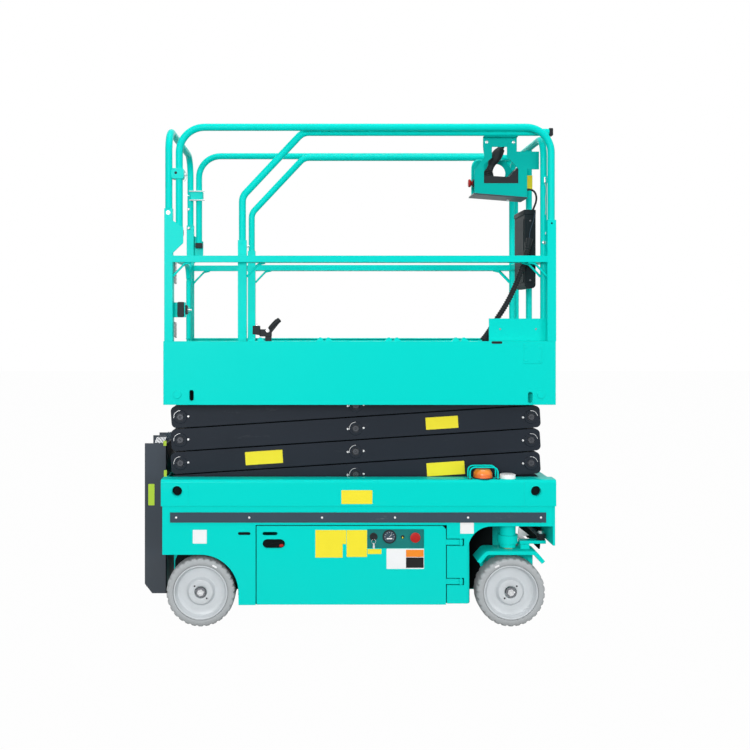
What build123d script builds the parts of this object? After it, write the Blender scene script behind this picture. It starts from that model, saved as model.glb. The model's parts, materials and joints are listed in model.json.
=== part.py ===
from build123d import *
import os
from math import asin, atan2, cos, degrees, hypot, pi, radians, sin, tan

# A compact electric slab scissor lift, parked and folded, in millimetres.
# +X is the steered front, -Y the right side, +Z up, and the origin lies on the ground.
# Distances named "out" run sideways from the middle plane towards either side.
os.makedirs("parts", exist_ok=True)

# Running clearances
pin_gap = 0.3
slide_gap = 0.3
plate_gap = 5.0

# Wheels
wheel_r = 152.5
wheel_out = (278.0, 378.0)
rim_r = 121.0
hub_r = 57.0
axle_r = 20.0
nut_r = 20.0
rear_axle_x = -648.0
front_axle_x = 726.0
kingpin_out = 300.0
kingpin_r = 22.0

# Chassis
chassis_x = (-823.0, 925.0)
beam_out = (285.0, 378.0)
beam_z = (536.0, 653.0)
beam_fillet = 14.0
skirt_out = (368.0, 374.0)
skirt_x = (-817.0, 911.0)
skirt_low_z = 98.0
strip_z = (463.6, 508.0)
strip_x = (-782.0, 880.0)
strip_thickness = 4.5
trough_floor_z = (536.0, 545.0)
spine_out = 140.0
spine_x = (-800.0, 690.0)
spine_z = (100.0, 536.0)
rear_arch_r = 168.0
rear_arch_z = wheel_r + rear_arch_r
front_arch_x = 535.5
front_arch_r = 104.0
front_arch_z = 446.0
door_x = (-400.0, 438.0)
door_z = (100.0, 448.0)
door_gap = 4.0
door_clip = 14.0
door_hinge_x = 504.0
door_hinge_out = skirt_out[0] + 3.0
door_strap_z = (202.0, 376.0)
strap_height = 24.0
strap_slot_gap = 4.0

# Scissor stack
stages = 4
arm_span = 1592.0
left_pin_x = -751.0
pin_low_z = 607.0
stage_rise = 104.4
arm_depth = 98.0
arm_end = 42.0
arm_corner = 22.0
inner_arm_out = (188.0, 228.0)
outer_arm_out = (236.0, 276.0)
arm_pin_r = 15.0
boss_r = 30.5
boss_height = 3.0
pin_tip_out = 280.0
cross_tube_r = 24.0
roller_r = 29.7
roller_width = 30.0
fold_angle = asin(stage_rise / arm_span)
arm_reach = arm_span * cos(fold_angle)
right_pin_x = left_pin_x + arm_reach
pin_high_z = pin_low_z + stages * stage_rise

# Platform
platform_x = (-812.0, 923.0)
panel_out = (371.0, 377.0)
panel_z = (984.0, 1265.0)
floor_z = (1104.0, 1110.0)
flange_width = 21.0
detent_lugs = (-402.0, -100.0, 204.0, 501.0)
panel_slots = ((-687.0, 1026.0), (810.0, 1017.0))
panel_bosses = (left_pin_x, 858.0)
sheet = 6.0
rail_r = 16.0
rail_out = 358.0
rail_top_z = 2215.0
rail_bend = 112.0
mid_rail_z = (1615.0, 1644.0)
brace_r = 5.0
post_out = (350.0, 377.0)
rear_post_x = (-808.0, -771.0)
rear_post_top_z = 1853.0
front_post_x = (886.0, 925.0)
front_post_top_z = 1802.0
left_leg_x = rear_post_x[1] + 27.0
right_leg_x = 907.0
left_leg_low_z = 1738.0
rear_hoop_r = 16.0
rear_hoop_top_z = 2208.0

# Sliding extension
extension_x = (-490.0, 905.0)
extension_out = 345.0
extension_floor_z = (1118.0, 1124.0)
extension_wall_top_z = 1255.0
tread_plate_x = (-430.0, 860.0)
tread_plate_out = 275.0
tread_plate_top_z = 1126.0
inner_rail_out = 321.0
inner_rail_z = 2200.0
inner_post_x = (-486.0, -447.0)
inner_post_out = (302.0, 336.0)
inner_post_top_z = 1716.0
front_hoop_x = 883.0


def span(x, y, z, mode=Mode.ADD):
    # A box between its low and high bounds.
    with Locations(((x[0] + x[1]) / 2, (y[0] + y[1]) / 2, (z[0] + z[1]) / 2)):
        Box(x[1] - x[0], y[1] - y[0], z[1] - z[0], mode=mode)


def right_span(x, out, z, mode=Mode.ADD):
    # A box on the right side, between two distances out from the middle plane.
    span(x, (-out[1], -out[0]), z, mode)


def cross_pin(x, z, radius, out, mode=Mode.ADD):
    # A round bar across the machine, on the right side.
    with Locations(Location((x, -(out[0] + out[1]) / 2, z), (90, 0, 0))):
        Cylinder(radius, out[1] - out[0], mode=mode)


def upright_pin(x, y, radius, z, mode=Mode.ADD):
    with Locations((x, y, (z[0] + z[1]) / 2)):
        Cylinder(radius, z[1] - z[0], mode=mode)


def bent_tube(route, bend, radius, mode=Mode.ADD):
    # A round bar swept along straight runs with rounded corners.
    with BuildLine() as run:
        FilletPolyline(*route, radius=bend)
    with BuildSketch(Plane(run.line @ 0, z_dir=run.line % 0)) as section:
        Circle(radius)
    sweep(section.sketch, run.line, mode=mode)


def right_plate(points, out, mode=Mode.ADD):
    # A flat plate on the right side from an outline of (x, z) points.
    with BuildSketch(Plane.XZ.offset(out[0])) as outline:
        Polygon(*points, align=None)
    extrude(outline.sketch, amount=out[1] - out[0], mode=mode)


def rail_brace(post_x, way, out):
    # A thin round bar that braces a mid rail to the post at its end.
    y = -(out[0] + out[1]) / 2
    bent_tube([(post_x, y, mid_rail_z[0] - 62), (post_x + way * 12, y, mid_rail_z[0] - 48),
               (post_x + way * 52, y, mid_rail_z[0] - 6), (post_x + way * 82, y, mid_rail_z[0])], 10, brace_r)


def save(piece, name):
    piece.label = name
    export_step(piece, f"parts/{name}.step")


# Chassis frame: spine, trough floor, axle beams, kingpin housings and bumper
track_top_z = pin_low_z - roller_r - slide_gap
housing_r = 36.0
housing_z = (340.0, 450.0)
collar_r = 45.0
collar_z = (359.0, 395.0)
axle_flange_out = (262.0, 272.0)
bracket_out = (222.0, 232.0)
bracket_x = (-790.0, -712.0)
with BuildPart() as chassis_frame:
    right_span((chassis_x[0], chassis_x[1]), (0, beam_out[0]), trough_floor_z)
    right_span((chassis_x[0], chassis_x[0] + 10), (0, beam_out[0]), (545, 640))
    right_span((887, chassis_x[1]), (0, beam_out[0]), (545, 640))
    right_span(spine_x, (0, spine_out), spine_z)
    right_span((spine_x[1], 885), (0, 110), (450, 536))
    right_span((690, 762), (0, 340), (450, 536))
    right_span((911, 921), (0, skirt_out[1]), (361, 536))
    right_span((-480, -474), (spine_out, skirt_out[0]), (skirt_low_z, 536))
    right_span((front_arch_x, front_arch_x + 6), (spine_out, skirt_out[0]), (105, 536))
    upright_pin(front_axle_x, -kingpin_out, housing_r, housing_z)
    upright_pin(front_axle_x, -kingpin_out, collar_r, collar_z)
    upright_pin(front_axle_x, -kingpin_out, kingpin_r + pin_gap, (340, 440), Mode.SUBTRACT)
    right_span((-690, -606), (spine_out, axle_flange_out[0]), (110, 195))
    cross_pin(rear_axle_x, wheel_r, 55, axle_flange_out)
    cross_pin(rear_axle_x, wheel_r, axle_r, (axle_flange_out[1], 358))
    cross_pin(rear_axle_x, wheel_r, nut_r, (358, 370))
    right_span(bracket_x, bracket_out, (545, 640))
    cross_pin(left_pin_x, pin_low_z, arm_pin_r, (bracket_out[0], beam_out[0]))
    right_span((150, 887), (outer_arm_out[0], beam_out[0]), (545, track_top_z))
    mirror(about=Plane.XZ)
save(chassis_frame.part, "chassis_frame")

# Upper side beams with rounded top edges, and their end blocks with the tie-down sockets
socket_bore_r = 22.0
socket_depth = 20.0
socket_z = 603.0
end_blocks = ((chassis_x[0], -700.0, left_pin_x), (784.0, chassis_x[1], 835.0))
with BuildPart() as side_beams:
    right_span((end_blocks[0][1], end_blocks[1][0]), beam_out, beam_z)
    top_edges = side_beams.edges().filter_by(Axis.X).group_by(Axis.Z)[-1]
    fillet(top_edges, beam_fillet)
    mirror(about=Plane.XZ)
save(side_beams.part, "side_beams")

with BuildPart() as tie_down_sockets:
    for block_start, block_end, hole_x in end_blocks:
        right_span((block_start, block_end), beam_out, beam_z)
    top_edges = tie_down_sockets.edges().filter_by(Axis.X).group_by(Axis.Z)[-1]
    fillet(top_edges, beam_fillet)
    for block_start, block_end, hole_x in end_blocks:
        cross_pin(hole_x, socket_z, socket_bore_r, (beam_out[1] - socket_depth, beam_out[1]), Mode.SUBTRACT)
    mirror(about=Plane.XZ)
save(tie_down_sockets.part, "tie_down_sockets")

# Side skirts with the wheel arches and the door opening
with BuildPart() as side_skirts:
    with BuildSketch(Plane.XZ.offset(skirt_out[0])) as skirt_face:
        with BuildLine():
            Polyline((rear_axle_x, rear_arch_z), (skirt_x[0], rear_arch_z), (skirt_x[0], beam_z[0]),
                     (skirt_x[1], beam_z[0]), (skirt_x[1], front_arch_z),
                     (front_arch_x + front_arch_r, front_arch_z))
            JernArc((front_arch_x + front_arch_r, front_arch_z), (-1, 0), front_arch_r, 90)
            Polyline((front_arch_x, front_arch_z - front_arch_r), (front_arch_x, 105),
                     (door_x[1] + door_gap, 105), (door_x[1] + door_gap, door_z[1] + door_gap),
                     (door_x[0] - door_gap, door_z[1] + door_gap), (door_x[0] - door_gap, skirt_low_z),
                     (rear_axle_x + rear_arch_r, skirt_low_z), (rear_axle_x + rear_arch_r, wheel_r))
            JernArc((rear_axle_x + rear_arch_r, wheel_r), (0, 1), rear_arch_r, 90)
        make_face()
        with Locations((-454.5, 414.5)):
            SlotOverall(55, 13, mode=Mode.SUBTRACT)
        for strap_z in door_strap_z:
            with Locations(((door_x[1] + door_hinge_x + 14) / 2, strap_z)):
                Rectangle(door_hinge_x + 14 - door_x[1], strap_height + 2 * strap_slot_gap, mode=Mode.SUBTRACT)
    extrude(amount=skirt_out[1] - skirt_out[0])
    for strap_z in door_strap_z:
        upright_pin(door_hinge_x, -door_hinge_out, 4, (strap_z - 20, strap_z + 20))
    mirror(about=Plane.XZ)
save(side_skirts.part, "side_skirts")

with BuildPart() as rub_strips:
    right_span(strip_x, (skirt_out[1], skirt_out[1] + strip_thickness), strip_z)
    mirror(about=Plane.XZ)
save(rub_strips.part, "rub_strips")

# Entry ladder at the rear
ladder_x = (-925.0, -823.0)
ladder_z = (100.0, 791.0)
ladder_out = (200.0, 206.0)
ladder_treads = (130, 290, 450, 610, 771)
with BuildPart() as entry_ladder:
    right_plate([(ladder_x[1], ladder_z[0]), (ladder_x[1], ladder_z[1]), (ladder_x[0], ladder_z[1]),
                 (ladder_x[0], ladder_z[0] + 44), (ladder_x[0] + 34, ladder_z[0])], ladder_out)
    right_span((ladder_x[1] - 6, ladder_x[1]), (0, ladder_out[1]), ladder_z)
    for tread_z in ladder_treads:
        right_span((ladder_x[0] + 6, ladder_x[1] - 6), (0, ladder_out[0]), (tread_z, tread_z + 20))
    right_span((-884, ladder_x[1]), (0, ladder_out[0]), (ladder_z[1], 828))
    mirror(about=Plane.XZ)
save(entry_ladder.part, "entry_ladder")

# Amber beacon on the right beam and its wire guard
beacon_x = 604.0
beacon_out = 331.0
beacon_r = 42.0
beacon_band_z = 679.0
beacon_top_z = 702.0
beacon_top_r = 29.0
with BuildPart() as beacon:
    upright_pin(beacon_x, -beacon_out, beacon_r, (beam_z[1], beacon_band_z))
    with Locations((beacon_x, -beacon_out, (beacon_band_z + beacon_top_z) / 2)):
        Cone(beacon_r, beacon_top_r, beacon_top_z - beacon_band_z)
    fillet(beacon.edges().filter_by(GeomType.CIRCLE).sort_by(Axis.Z)[-1], 6)
save(beacon.part, "beacon")
guard_half = 62.0
guard_spread = 26.0
guard_bend = 32.0
guard_r = 4.0
guard_top_z = 714.0
with BuildPart() as beacon_guard:
    for hoop_out in (beacon_out - guard_spread, beacon_out + guard_spread):
        bent_tube([(beacon_x - guard_half, -hoop_out, beam_z[1]), (beacon_x - guard_half, -hoop_out, guard_top_z),
                   (beacon_x + guard_half, -hoop_out, guard_top_z), (beacon_x + guard_half, -hoop_out, beam_z[1])],
                  guard_bend, guard_r)
save(beacon_guard.part, "beacon_guard")


# Doors: swing-out trays on both sides
tray_x = (-340.0, 400.0)
tray_out = (150.0, 366.0)
panel_z_range = (349.0, 434.6)
panel_x_range = (89.0, 341.0)
for side, name in ((1, "door_right"), (-1, "door_left")):
    with BuildPart() as door:
        right_plate([(door_x[0], door_z[0]), (door_x[0], door_z[1]), (door_x[1] - door_clip, door_z[1]),
                     (door_x[1], door_z[1] - door_clip), (door_x[1], door_z[0])], (366, skirt_out[1]))
        right_span(tray_x, tray_out, (104, 112))
        for strap_z in door_strap_z:
            strap_reach = (strap_z - strap_height / 2, strap_z + strap_height / 2)
            right_span((door_x[1], door_hinge_x), (door_hinge_out - 4.5, door_hinge_out + 1.5), strap_reach)
            upright_pin(door_hinge_x, -door_hinge_out, 9, strap_reach)
            upright_pin(door_hinge_x, -door_hinge_out, 4 + pin_gap, (strap_z - 20, strap_z + 20), Mode.SUBTRACT)
        with BuildSketch(Plane.XZ.offset(360)) as handle_hole:
            with Locations((-323.5, 370)):
                SlotOverall(100, 40)
            with Locations((-340.5, 414)):
                SlotOverall(66, 15)
        extrude(handle_hole.sketch, amount=20, mode=Mode.SUBTRACT)
        if side == 1:
            right_span(panel_x_range, (360, 380), panel_z_range, Mode.SUBTRACT)
        else:
            mirror(about=Plane.XZ, mode=Mode.REPLACE)
    save(door.part, name)

with BuildPart() as ground_controls:
    right_span(panel_x_range, (366, 369), panel_z_range)
    for knob_x, knob_r, knob_top in ((118, 17, 373), (188, 30, 373), (247, 8, 378), (302, 22, 379)):
        cross_pin(knob_x, 400, knob_r, (369, knob_top))
save(ground_controls.part, "ground_controls")

with BuildPart() as power_unit:
    right_span((-320, 380), (170, 350), (112, 340))
save(power_unit.part, "power_unit")
with BuildPart() as battery_pack:
    span((-320, 380), (170, 350), (112, 400))
save(battery_pack.part, "battery_pack")

# Wheels: tyres and rims, all four alike
wheel_places = (
    ("rear_right", rear_axle_x, 1), ("rear_left", rear_axle_x, -1),
    ("front_right", front_axle_x, 1), ("front_left", front_axle_x, -1),
)
for wheel_name, wheel_x, side in wheel_places:
    with BuildPart() as tyre:
        cross_pin(wheel_x, wheel_r, wheel_r, wheel_out)
        fillet(tyre.edges().filter_by(GeomType.CIRCLE), 10)
        cross_pin(wheel_x, wheel_r, rim_r, wheel_out, Mode.SUBTRACT)
        if side == -1:
            mirror(about=Plane.XZ, mode=Mode.REPLACE)
    save(tyre.part, f"tyre_{wheel_name}")
    with BuildPart() as rim:
        cross_pin(wheel_x, wheel_r, rim_r, (284, 374))
        cross_pin(wheel_x, wheel_r, rim_r - 9, (358, 374), Mode.SUBTRACT)
        cross_pin(wheel_x, wheel_r, rim_r - 9, (284, 344), Mode.SUBTRACT)
        cross_pin(wheel_x, wheel_r, hub_r, (284, 366))
        cross_pin(wheel_x, wheel_r, nut_r + 6, (356, 366), Mode.SUBTRACT)
        cross_pin(wheel_x, wheel_r, axle_r + pin_gap, (280, 360), Mode.SUBTRACT)
        if side == -1:
            mirror(about=Plane.XZ, mode=Mode.REPLACE)
    save(rim.part, f"rim_{wheel_name}")

# Steering knuckles: kingpin, arched cover over the tyre, hub plate and stub axle
cover_out = (262.0, 376.0)
cover_z = (320.0, 336.0)
arm_pin_x = front_axle_x + 150.0
steer_arm_z = (356.0, 370.0)
for side, name in ((1, "knuckle_right"), (-1, "knuckle_left")):
    with BuildPart() as knuckle:
        with BuildSketch(Plane.XZ.offset(cover_out[0])) as cover_side:
            Polygon((front_axle_x - 150, 292), (front_axle_x - 112, cover_z[1]), (front_axle_x + 112, cover_z[1]),
                    (front_axle_x + 150, 292), (front_axle_x + 136, 280), (front_axle_x + 103, cover_z[0]),
                    (front_axle_x - 103, cover_z[0]), (front_axle_x - 136, 280), align=None)
            fillet(cover_side.vertices().filter_by_position(Axis.Y, cover_z[1] - 1, cover_z[1] + 1), 30)
            fillet(cover_side.vertices().filter_by_position(Axis.Y, cover_z[0] - 1, cover_z[0] + 1), 16)
        extrude(cover_side.sketch, amount=cover_out[1] - cover_out[0])
        right_plate([(front_axle_x - 120, 322), (front_axle_x + 120, 322), (front_axle_x + 120, 250),
                     (front_axle_x + 60, 95), (front_axle_x - 60, 95), (front_axle_x - 120, 250)], (262, 272))
        cross_pin(front_axle_x, wheel_r, 60, (196, 262))
        cross_pin(front_axle_x, wheel_r, axle_r, (272, 358))
        cross_pin(front_axle_x, wheel_r, nut_r, (358, 370))
        upright_pin(front_axle_x, -kingpin_out, kingpin_r, (336, 430))
        upright_pin(front_axle_x, -kingpin_out, 28, (336, 340 - slide_gap))
        right_span((front_axle_x + 52, front_axle_x + 92), (270, 330), (336, steer_arm_z[0]))
        right_span((front_axle_x + 52, arm_pin_x + 18), (280, 320), steer_arm_z)
        upright_pin(arm_pin_x, -kingpin_out, 8, (steer_arm_z[1], 402))
        if side == -1:
            mirror(about=Plane.XZ, mode=Mode.REPLACE)
    save(knuckle.part, name)

with BuildPart() as tie_rod:
    tie_z = (steer_arm_z[1] + slide_gap, 398)
    upright_pin(arm_pin_x, -kingpin_out, 17, tie_z)
    with Locations(Location((arm_pin_x, 0, sum(tie_z) / 2), (90, 0, 0))):
        Cylinder(11, 2 * kingpin_out - 20)
    upright_pin(arm_pin_x, kingpin_out, 17, tie_z)
    for side in (1, -1):
        upright_pin(arm_pin_x, side * kingpin_out, 8 + pin_gap, (360, 410), Mode.SUBTRACT)
save(tie_rod.part, "tie_rod")


# Scissor arms. Each stage has an outer pair rising to the right and an inner pair rising to the left.
def outer_plane(level):
    low = pin_low_z + (level - 1) * stage_rise
    return Plane((left_pin_x, 0, low), x_dir=(cos(fold_angle), 0, sin(fold_angle)), z_dir=(0, -1, 0))


def inner_plane(level):
    high = pin_low_z + level * stage_rise
    return Plane((left_pin_x, 0, high), x_dir=(cos(fold_angle), 0, -sin(fold_angle)), z_dir=(0, -1, 0))


def arm_discs(plane, places, radius, out, mode=Mode.ADD):
    # Round bosses, bores or pins square to an arm, at places along it.
    with BuildSketch(plane.offset(out[0])) as discs:
        with Locations(*places):
            Circle(radius)
    extrude(discs.sketch, amount=out[1] - out[0], mode=mode)


def arm_beam(plane, out):
    with BuildSketch(plane.offset(out[0])) as beam_side:
        with Locations((arm_span / 2, 0)):
            RectangleRounded(arm_span + 2 * arm_end, arm_depth, arm_corner)
    extrude(beam_side.sketch, amount=out[1] - out[0])


# Lift cylinder: from the first inner pair to the third
barrel_foot = (arm_span * 0.08, -60.0)
rod_head = (arm_span * 0.92, -20.0)
head_tube = (arm_span * 0.845, 20.0)
cylinder_pin_r = 16.0
eye_half = 43.0
lug_out = (48.0, 60.0)
lug_r = 34.0
pin_places = ((0, 0), (arm_span / 2, 0), (arm_span, 0))


def lug(plane, start, end, radius):
    # A lug plate from a cross tube to a cylinder pin, rounded at both ends.
    with BuildSketch(plane.offset(lug_out[0])) as lug_side:
        with Locations(((start[0] + end[0]) / 2, (start[1] + end[1]) / 2)):
            with Locations(Location((0, 0, 0), (0, 0, degrees(atan2(end[1] - start[1], end[0] - start[0]))))):
                SlotOverall(hypot(end[0] - start[0], end[1] - start[1]) + 2 * radius, 2 * radius)
    extrude(lug_side.sketch, amount=lug_out[1] - lug_out[0])


for level in range(1, stages + 1):
    plane = outer_plane(level)
    with BuildPart() as outer_arm:
        arm_beam(plane, outer_arm_out)
        arm_discs(plane, pin_places, boss_r, (outer_arm_out[1], outer_arm_out[1] + boss_height))
        bored = pin_places[:2] if level == stages else pin_places
        arm_discs(plane, bored, arm_pin_r + pin_gap, (outer_arm_out[0], outer_arm_out[1] + boss_height), Mode.SUBTRACT)
        if level == stages:
            arm_discs(plane, pin_places[2:], arm_pin_r, (outer_arm_out[1], 289))
            arm_discs(plane, pin_places[2:], roller_r, (289, 289 + roller_width))
        mirror(about=Plane.XZ)
    save(outer_arm.part, f"outer_arm_{level}")

    plane = inner_plane(level)
    with BuildPart() as inner_arm:
        arm_beam(plane, inner_arm_out)
        arm_discs(plane, pin_places[1:2], arm_pin_r, (inner_arm_out[1], pin_tip_out))
        if level == stages:
            arm_discs(plane, pin_places[:1], arm_pin_r, (inner_arm_out[1], 243))
        else:
            arm_discs(plane, pin_places[:1], arm_pin_r, (inner_arm_out[1], pin_tip_out))
        if level == 1:
            arm_discs(plane, pin_places[2:], arm_pin_r, (inner_arm_out[1], 240))
            arm_discs(plane, pin_places[2:], roller_r, (240, 240 + roller_width))
            lug(plane, (0, 0), barrel_foot, lug_r)
            arm_discs(plane, [barrel_foot], cylinder_pin_r, (0, lug_out[1]))
        else:
            arm_discs(plane, pin_places[2:], arm_pin_r, (inner_arm_out[1], pin_tip_out))
        if level == 3:
            arm_discs(plane, [pin_places[0], head_tube], cross_tube_r, (0, inner_arm_out[0]))
            lug(plane, head_tube, rod_head, lug_r)
        else:
            arm_discs(plane, [pin_places[0], pin_places[2]], cross_tube_r, (0, inner_arm_out[0]))
        mirror(about=Plane.XZ)
    save(inner_arm.part, f"inner_arm_{level}")

foot = inner_plane(1).from_local_coords((barrel_foot[0], barrel_foot[1], 0))
head = inner_plane(3).from_local_coords((rod_head[0], rod_head[1], 0))
closed_length = hypot(head.X - foot.X, head.Z - foot.Z)
cylinder_plane = Plane((foot.X, 0, foot.Z), x_dir=(head.X - foot.X, 0, head.Z - foot.Z), z_dir=(0, -1, 0))
barrel_r = 42.0
rod_r = 22.0
barrel_x = (50.0, closed_length - 170)
rod_stroke = 372.0
bore_start = barrel_x[1] - rod_stroke - 60
axis_plane = Plane((foot.X, 0, foot.Z), z_dir=(head.X - foot.X, 0, head.Z - foot.Z))


def along_cylinder(radius, reach, mode=Mode.ADD):
    with BuildSketch(axis_plane.offset(reach[0])) as ring:
        Circle(radius)
    extrude(ring.sketch, amount=reach[1] - reach[0], mode=mode)


def eye(place, radius):
    with BuildSketch(cylinder_plane.offset(-eye_half)) as eye_side:
        with Locations((place, 0)):
            Circle(radius)
    extrude(eye_side.sketch, amount=2 * eye_half)


with BuildPart() as lift_barrel:
    eye(0, 32)
    along_cylinder(24, (20, barrel_x[0]))
    along_cylinder(barrel_r, barrel_x)
    along_cylinder(rod_r + pin_gap, (bore_start, barrel_x[1]), Mode.SUBTRACT)
    with BuildSketch(cylinder_plane.offset(-eye_half)) as foot_bore:
        Circle(cylinder_pin_r + pin_gap)
    extrude(foot_bore.sketch, amount=2 * eye_half, mode=Mode.SUBTRACT)
save(lift_barrel.part, "lift_barrel")

with BuildPart() as lift_rod:
    along_cylinder(rod_r, (bore_start + 10, closed_length - 10))
    eye(closed_length, 30)
save(lift_rod.part, "lift_rod")

# Platform deck with its side panels, roller channels and scissor brackets
channel_x = (150.0, 897.0)
channel_out = (284.0, 330.0)
roller_room = roller_r + slide_gap
with BuildPart() as platform_deck:
    right_span(platform_x, panel_out, panel_z)
    right_span(platform_x, (panel_out[0] - flange_width, panel_out[0]), (panel_z[1] - sheet, panel_z[1]))
    right_span(platform_x, (0, panel_out[0]), floor_z)
    right_span((platform_x[0], platform_x[0] + sheet), (0, panel_out[0]), (1083, 1122))
    right_span((897, 909), (0, panel_out[0]), (panel_z[0], floor_z[0]))
    right_span(channel_x, (channel_out[1] - 8, channel_out[1]), (panel_z[0], floor_z[0]))
    right_span(channel_x, channel_out, (panel_z[0], pin_high_z - roller_room))
    right_span(channel_x, channel_out, (pin_high_z + roller_room, pin_high_z + roller_room + 8))
    right_span(bracket_x, (231, 243), (panel_z[0] + 4, floor_z[0]))
    cross_pin(left_pin_x, pin_high_z, arm_pin_r + pin_gap, (220, 250), Mode.SUBTRACT)
    for member_x in (-600, -300, 0, 300, 600):
        right_span((member_x - 20, member_x + 20), (0, panel_out[0]), (1081, floor_z[0]))
    for slot_x, slot_z in panel_slots:
        right_span((slot_x - 10, slot_x + 10), (panel_out[0] - 1, panel_out[1] + 1), (slot_z - 24, slot_z + 24), Mode.SUBTRACT)
    for boss_x in panel_bosses:
        cross_pin(boss_x, 1030, 18, (panel_out[1], panel_out[1] + 3))
    mirror(about=Plane.XZ)
    for lug_x in detent_lugs:
        for way in (-1, 1):
            with BuildSketch(Plane.XZ.offset(352)) as detent:
                with BuildLine():
                    Polyline((lug_x + way * 5, panel_z[1]), (lug_x + way * 5, panel_z[1] + 7),
                             (lug_x + way * 14, panel_z[1] + 17), (lug_x + way * 22, panel_z[1] + 17),
                             (lug_x + way * 38, panel_z[1]), close=True)
                make_face()
            extrude(detent.sketch, amount=16)
save(platform_deck.part, "platform_deck")

with BuildPart() as side_rails:
    right_span(rear_post_x, post_out, (panel_z[1], rear_post_top_z))
    right_span(front_post_x, post_out, (panel_z[1], front_post_top_z))
    bent_tube([(left_leg_x, -rail_out, left_leg_low_z), (left_leg_x, -rail_out, rail_top_z),
               (right_leg_x, -rail_out, rail_top_z), (right_leg_x, -rail_out, 1760)], rail_bend, rail_r)
    right_span((rear_post_x[1], front_post_x[0]), (350, 377), mid_rail_z)
    right_plate([(rear_post_x[1], 1800), (-724, 1769), (-724, 1700), (rear_post_x[1], 1655)], (370, 377))
    rail_brace(rear_post_x[1], 1, post_out)
    rail_brace(front_post_x[0], -1, post_out)
    mirror(about=Plane.XZ)
save(side_rails.part, "side_rails")

# Rear frame with its hoop and gate posts, and the entry gate, which opens inwards about its left edge
gate_hinge_out = 285.0
gate_r = 12.0
gate_x = sum(rear_post_x) / 2
gate_top_z = 1640.0
gate_low_z = 1140.0
with BuildPart() as rear_frame:
    right_span((gate_x - 14, gate_x + 14), (305, 333), (1122, 1650))
    right_span((gate_x - 14, gate_x + 14), (333, 350), (1610, 1640))
    right_span((gate_x - 14, gate_x + 14), (333, 350), (1380, 1410))
    right_span((platform_x[0], platform_x[0] + 6), (305, 371), (1122, 1160))
    mirror(about=Plane.XZ)
    right_span((gate_x + 14, gate_x + 68), (306, 333), (1371, 1438))
    for hinge_z in (1250, 1560):
        span((gate_x - 4, gate_x + 4), (gate_hinge_out - 4, 305), (hinge_z, hinge_z + 8))
        upright_pin(gate_x, gate_hinge_out, 5, (hinge_z - 30, hinge_z + 8))
    bent_tube([(gate_x, -363, rear_post_top_z), (gate_x, -363, rear_hoop_top_z),
               (gate_x, 363, rear_hoop_top_z), (gate_x, 363, rear_post_top_z)], 100, rear_hoop_r)
    for side in (1, -1):
        span((gate_x, left_leg_x - rail_r), (side * 358 - 12, side * 358 + 12), (1985, 2030))
save(rear_frame.part, "rear_frame")
with BuildPart() as entry_gate:
    bent_tube([(gate_x, gate_hinge_out, gate_low_z), (gate_x, gate_hinge_out, gate_top_z),
               (gate_x, -gate_hinge_out, gate_top_z), (gate_x, -gate_hinge_out, gate_low_z)], 90, gate_r)
    span((gate_x - 10, gate_x + 10), (-gate_hinge_out, gate_hinge_out), (gate_low_z, gate_low_z + 24))
    span((gate_x - 10, gate_x + 10), (-gate_hinge_out, gate_hinge_out), (1400, 1424))
    for hinge_z in (1250, 1560):
        upright_pin(gate_x, gate_hinge_out, 30, (hinge_z - 32, hinge_z + 12), Mode.SUBTRACT)
        upright_pin(gate_x, gate_hinge_out, gate_r, (hinge_z - 32, hinge_z - slide_gap))
        upright_pin(gate_x, gate_hinge_out, 5 + pin_gap, (hinge_z - 32, hinge_z), Mode.SUBTRACT)
save(entry_gate.part, "entry_gate")

# Sliding extension deck and its rails
with BuildPart() as extension_deck:
    right_span(extension_x, (0, extension_out), extension_floor_z)
    right_span(extension_x, (300, 340), (floor_z[1] + slide_gap, extension_floor_z[0]))
    right_span(extension_x, (extension_out - sheet, extension_out), (extension_floor_z[1], extension_wall_top_z))
    right_span((extension_x[1] - sheet, extension_x[1]), (0, extension_out), (extension_floor_z[1], extension_wall_top_z))
    right_span(tread_plate_x, (0, tread_plate_out), (extension_floor_z[1], tread_plate_top_z))
    mirror(about=Plane.XZ)
    right_span((634, 894), (extension_out - sheet, extension_out), (extension_wall_top_z, 1366))
save(extension_deck.part, "extension_deck")

with BuildPart() as extension_rails:
    right_span(inner_post_x, inner_post_out, (extension_floor_z[1], inner_post_top_z))
    bent_tube([(sum(inner_post_x) / 2, -inner_rail_out, 1700), (sum(inner_post_x) / 2, -inner_rail_out, 1912),
               (-196, -inner_rail_out, inner_rail_z), (912, -inner_rail_out, inner_rail_z)], 60, rail_r)
    right_span((inner_post_x[1], front_hoop_x), (306, 336), mid_rail_z)
    rail_brace(inner_post_x[1], 1, (306, 336))
    rail_brace(front_hoop_x - 15, -1, (306, 336))
    mirror(about=Plane.XZ)
    right_span((792, 819), (299.05, 306), (1618, 1640))
    bent_tube([(front_hoop_x, -inner_rail_out, extension_floor_z[1]), (front_hoop_x, -inner_rail_out, inner_rail_z - 20),
               (front_hoop_x, inner_rail_out, inner_rail_z - 20), (front_hoop_x, inner_rail_out, extension_floor_z[1])], 90, 15)
    span((front_hoop_x - 14, front_hoop_x + 14), (-inner_rail_out, inner_rail_out), mid_rail_z)
save(extension_rails.part, "extension_rails")

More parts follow.
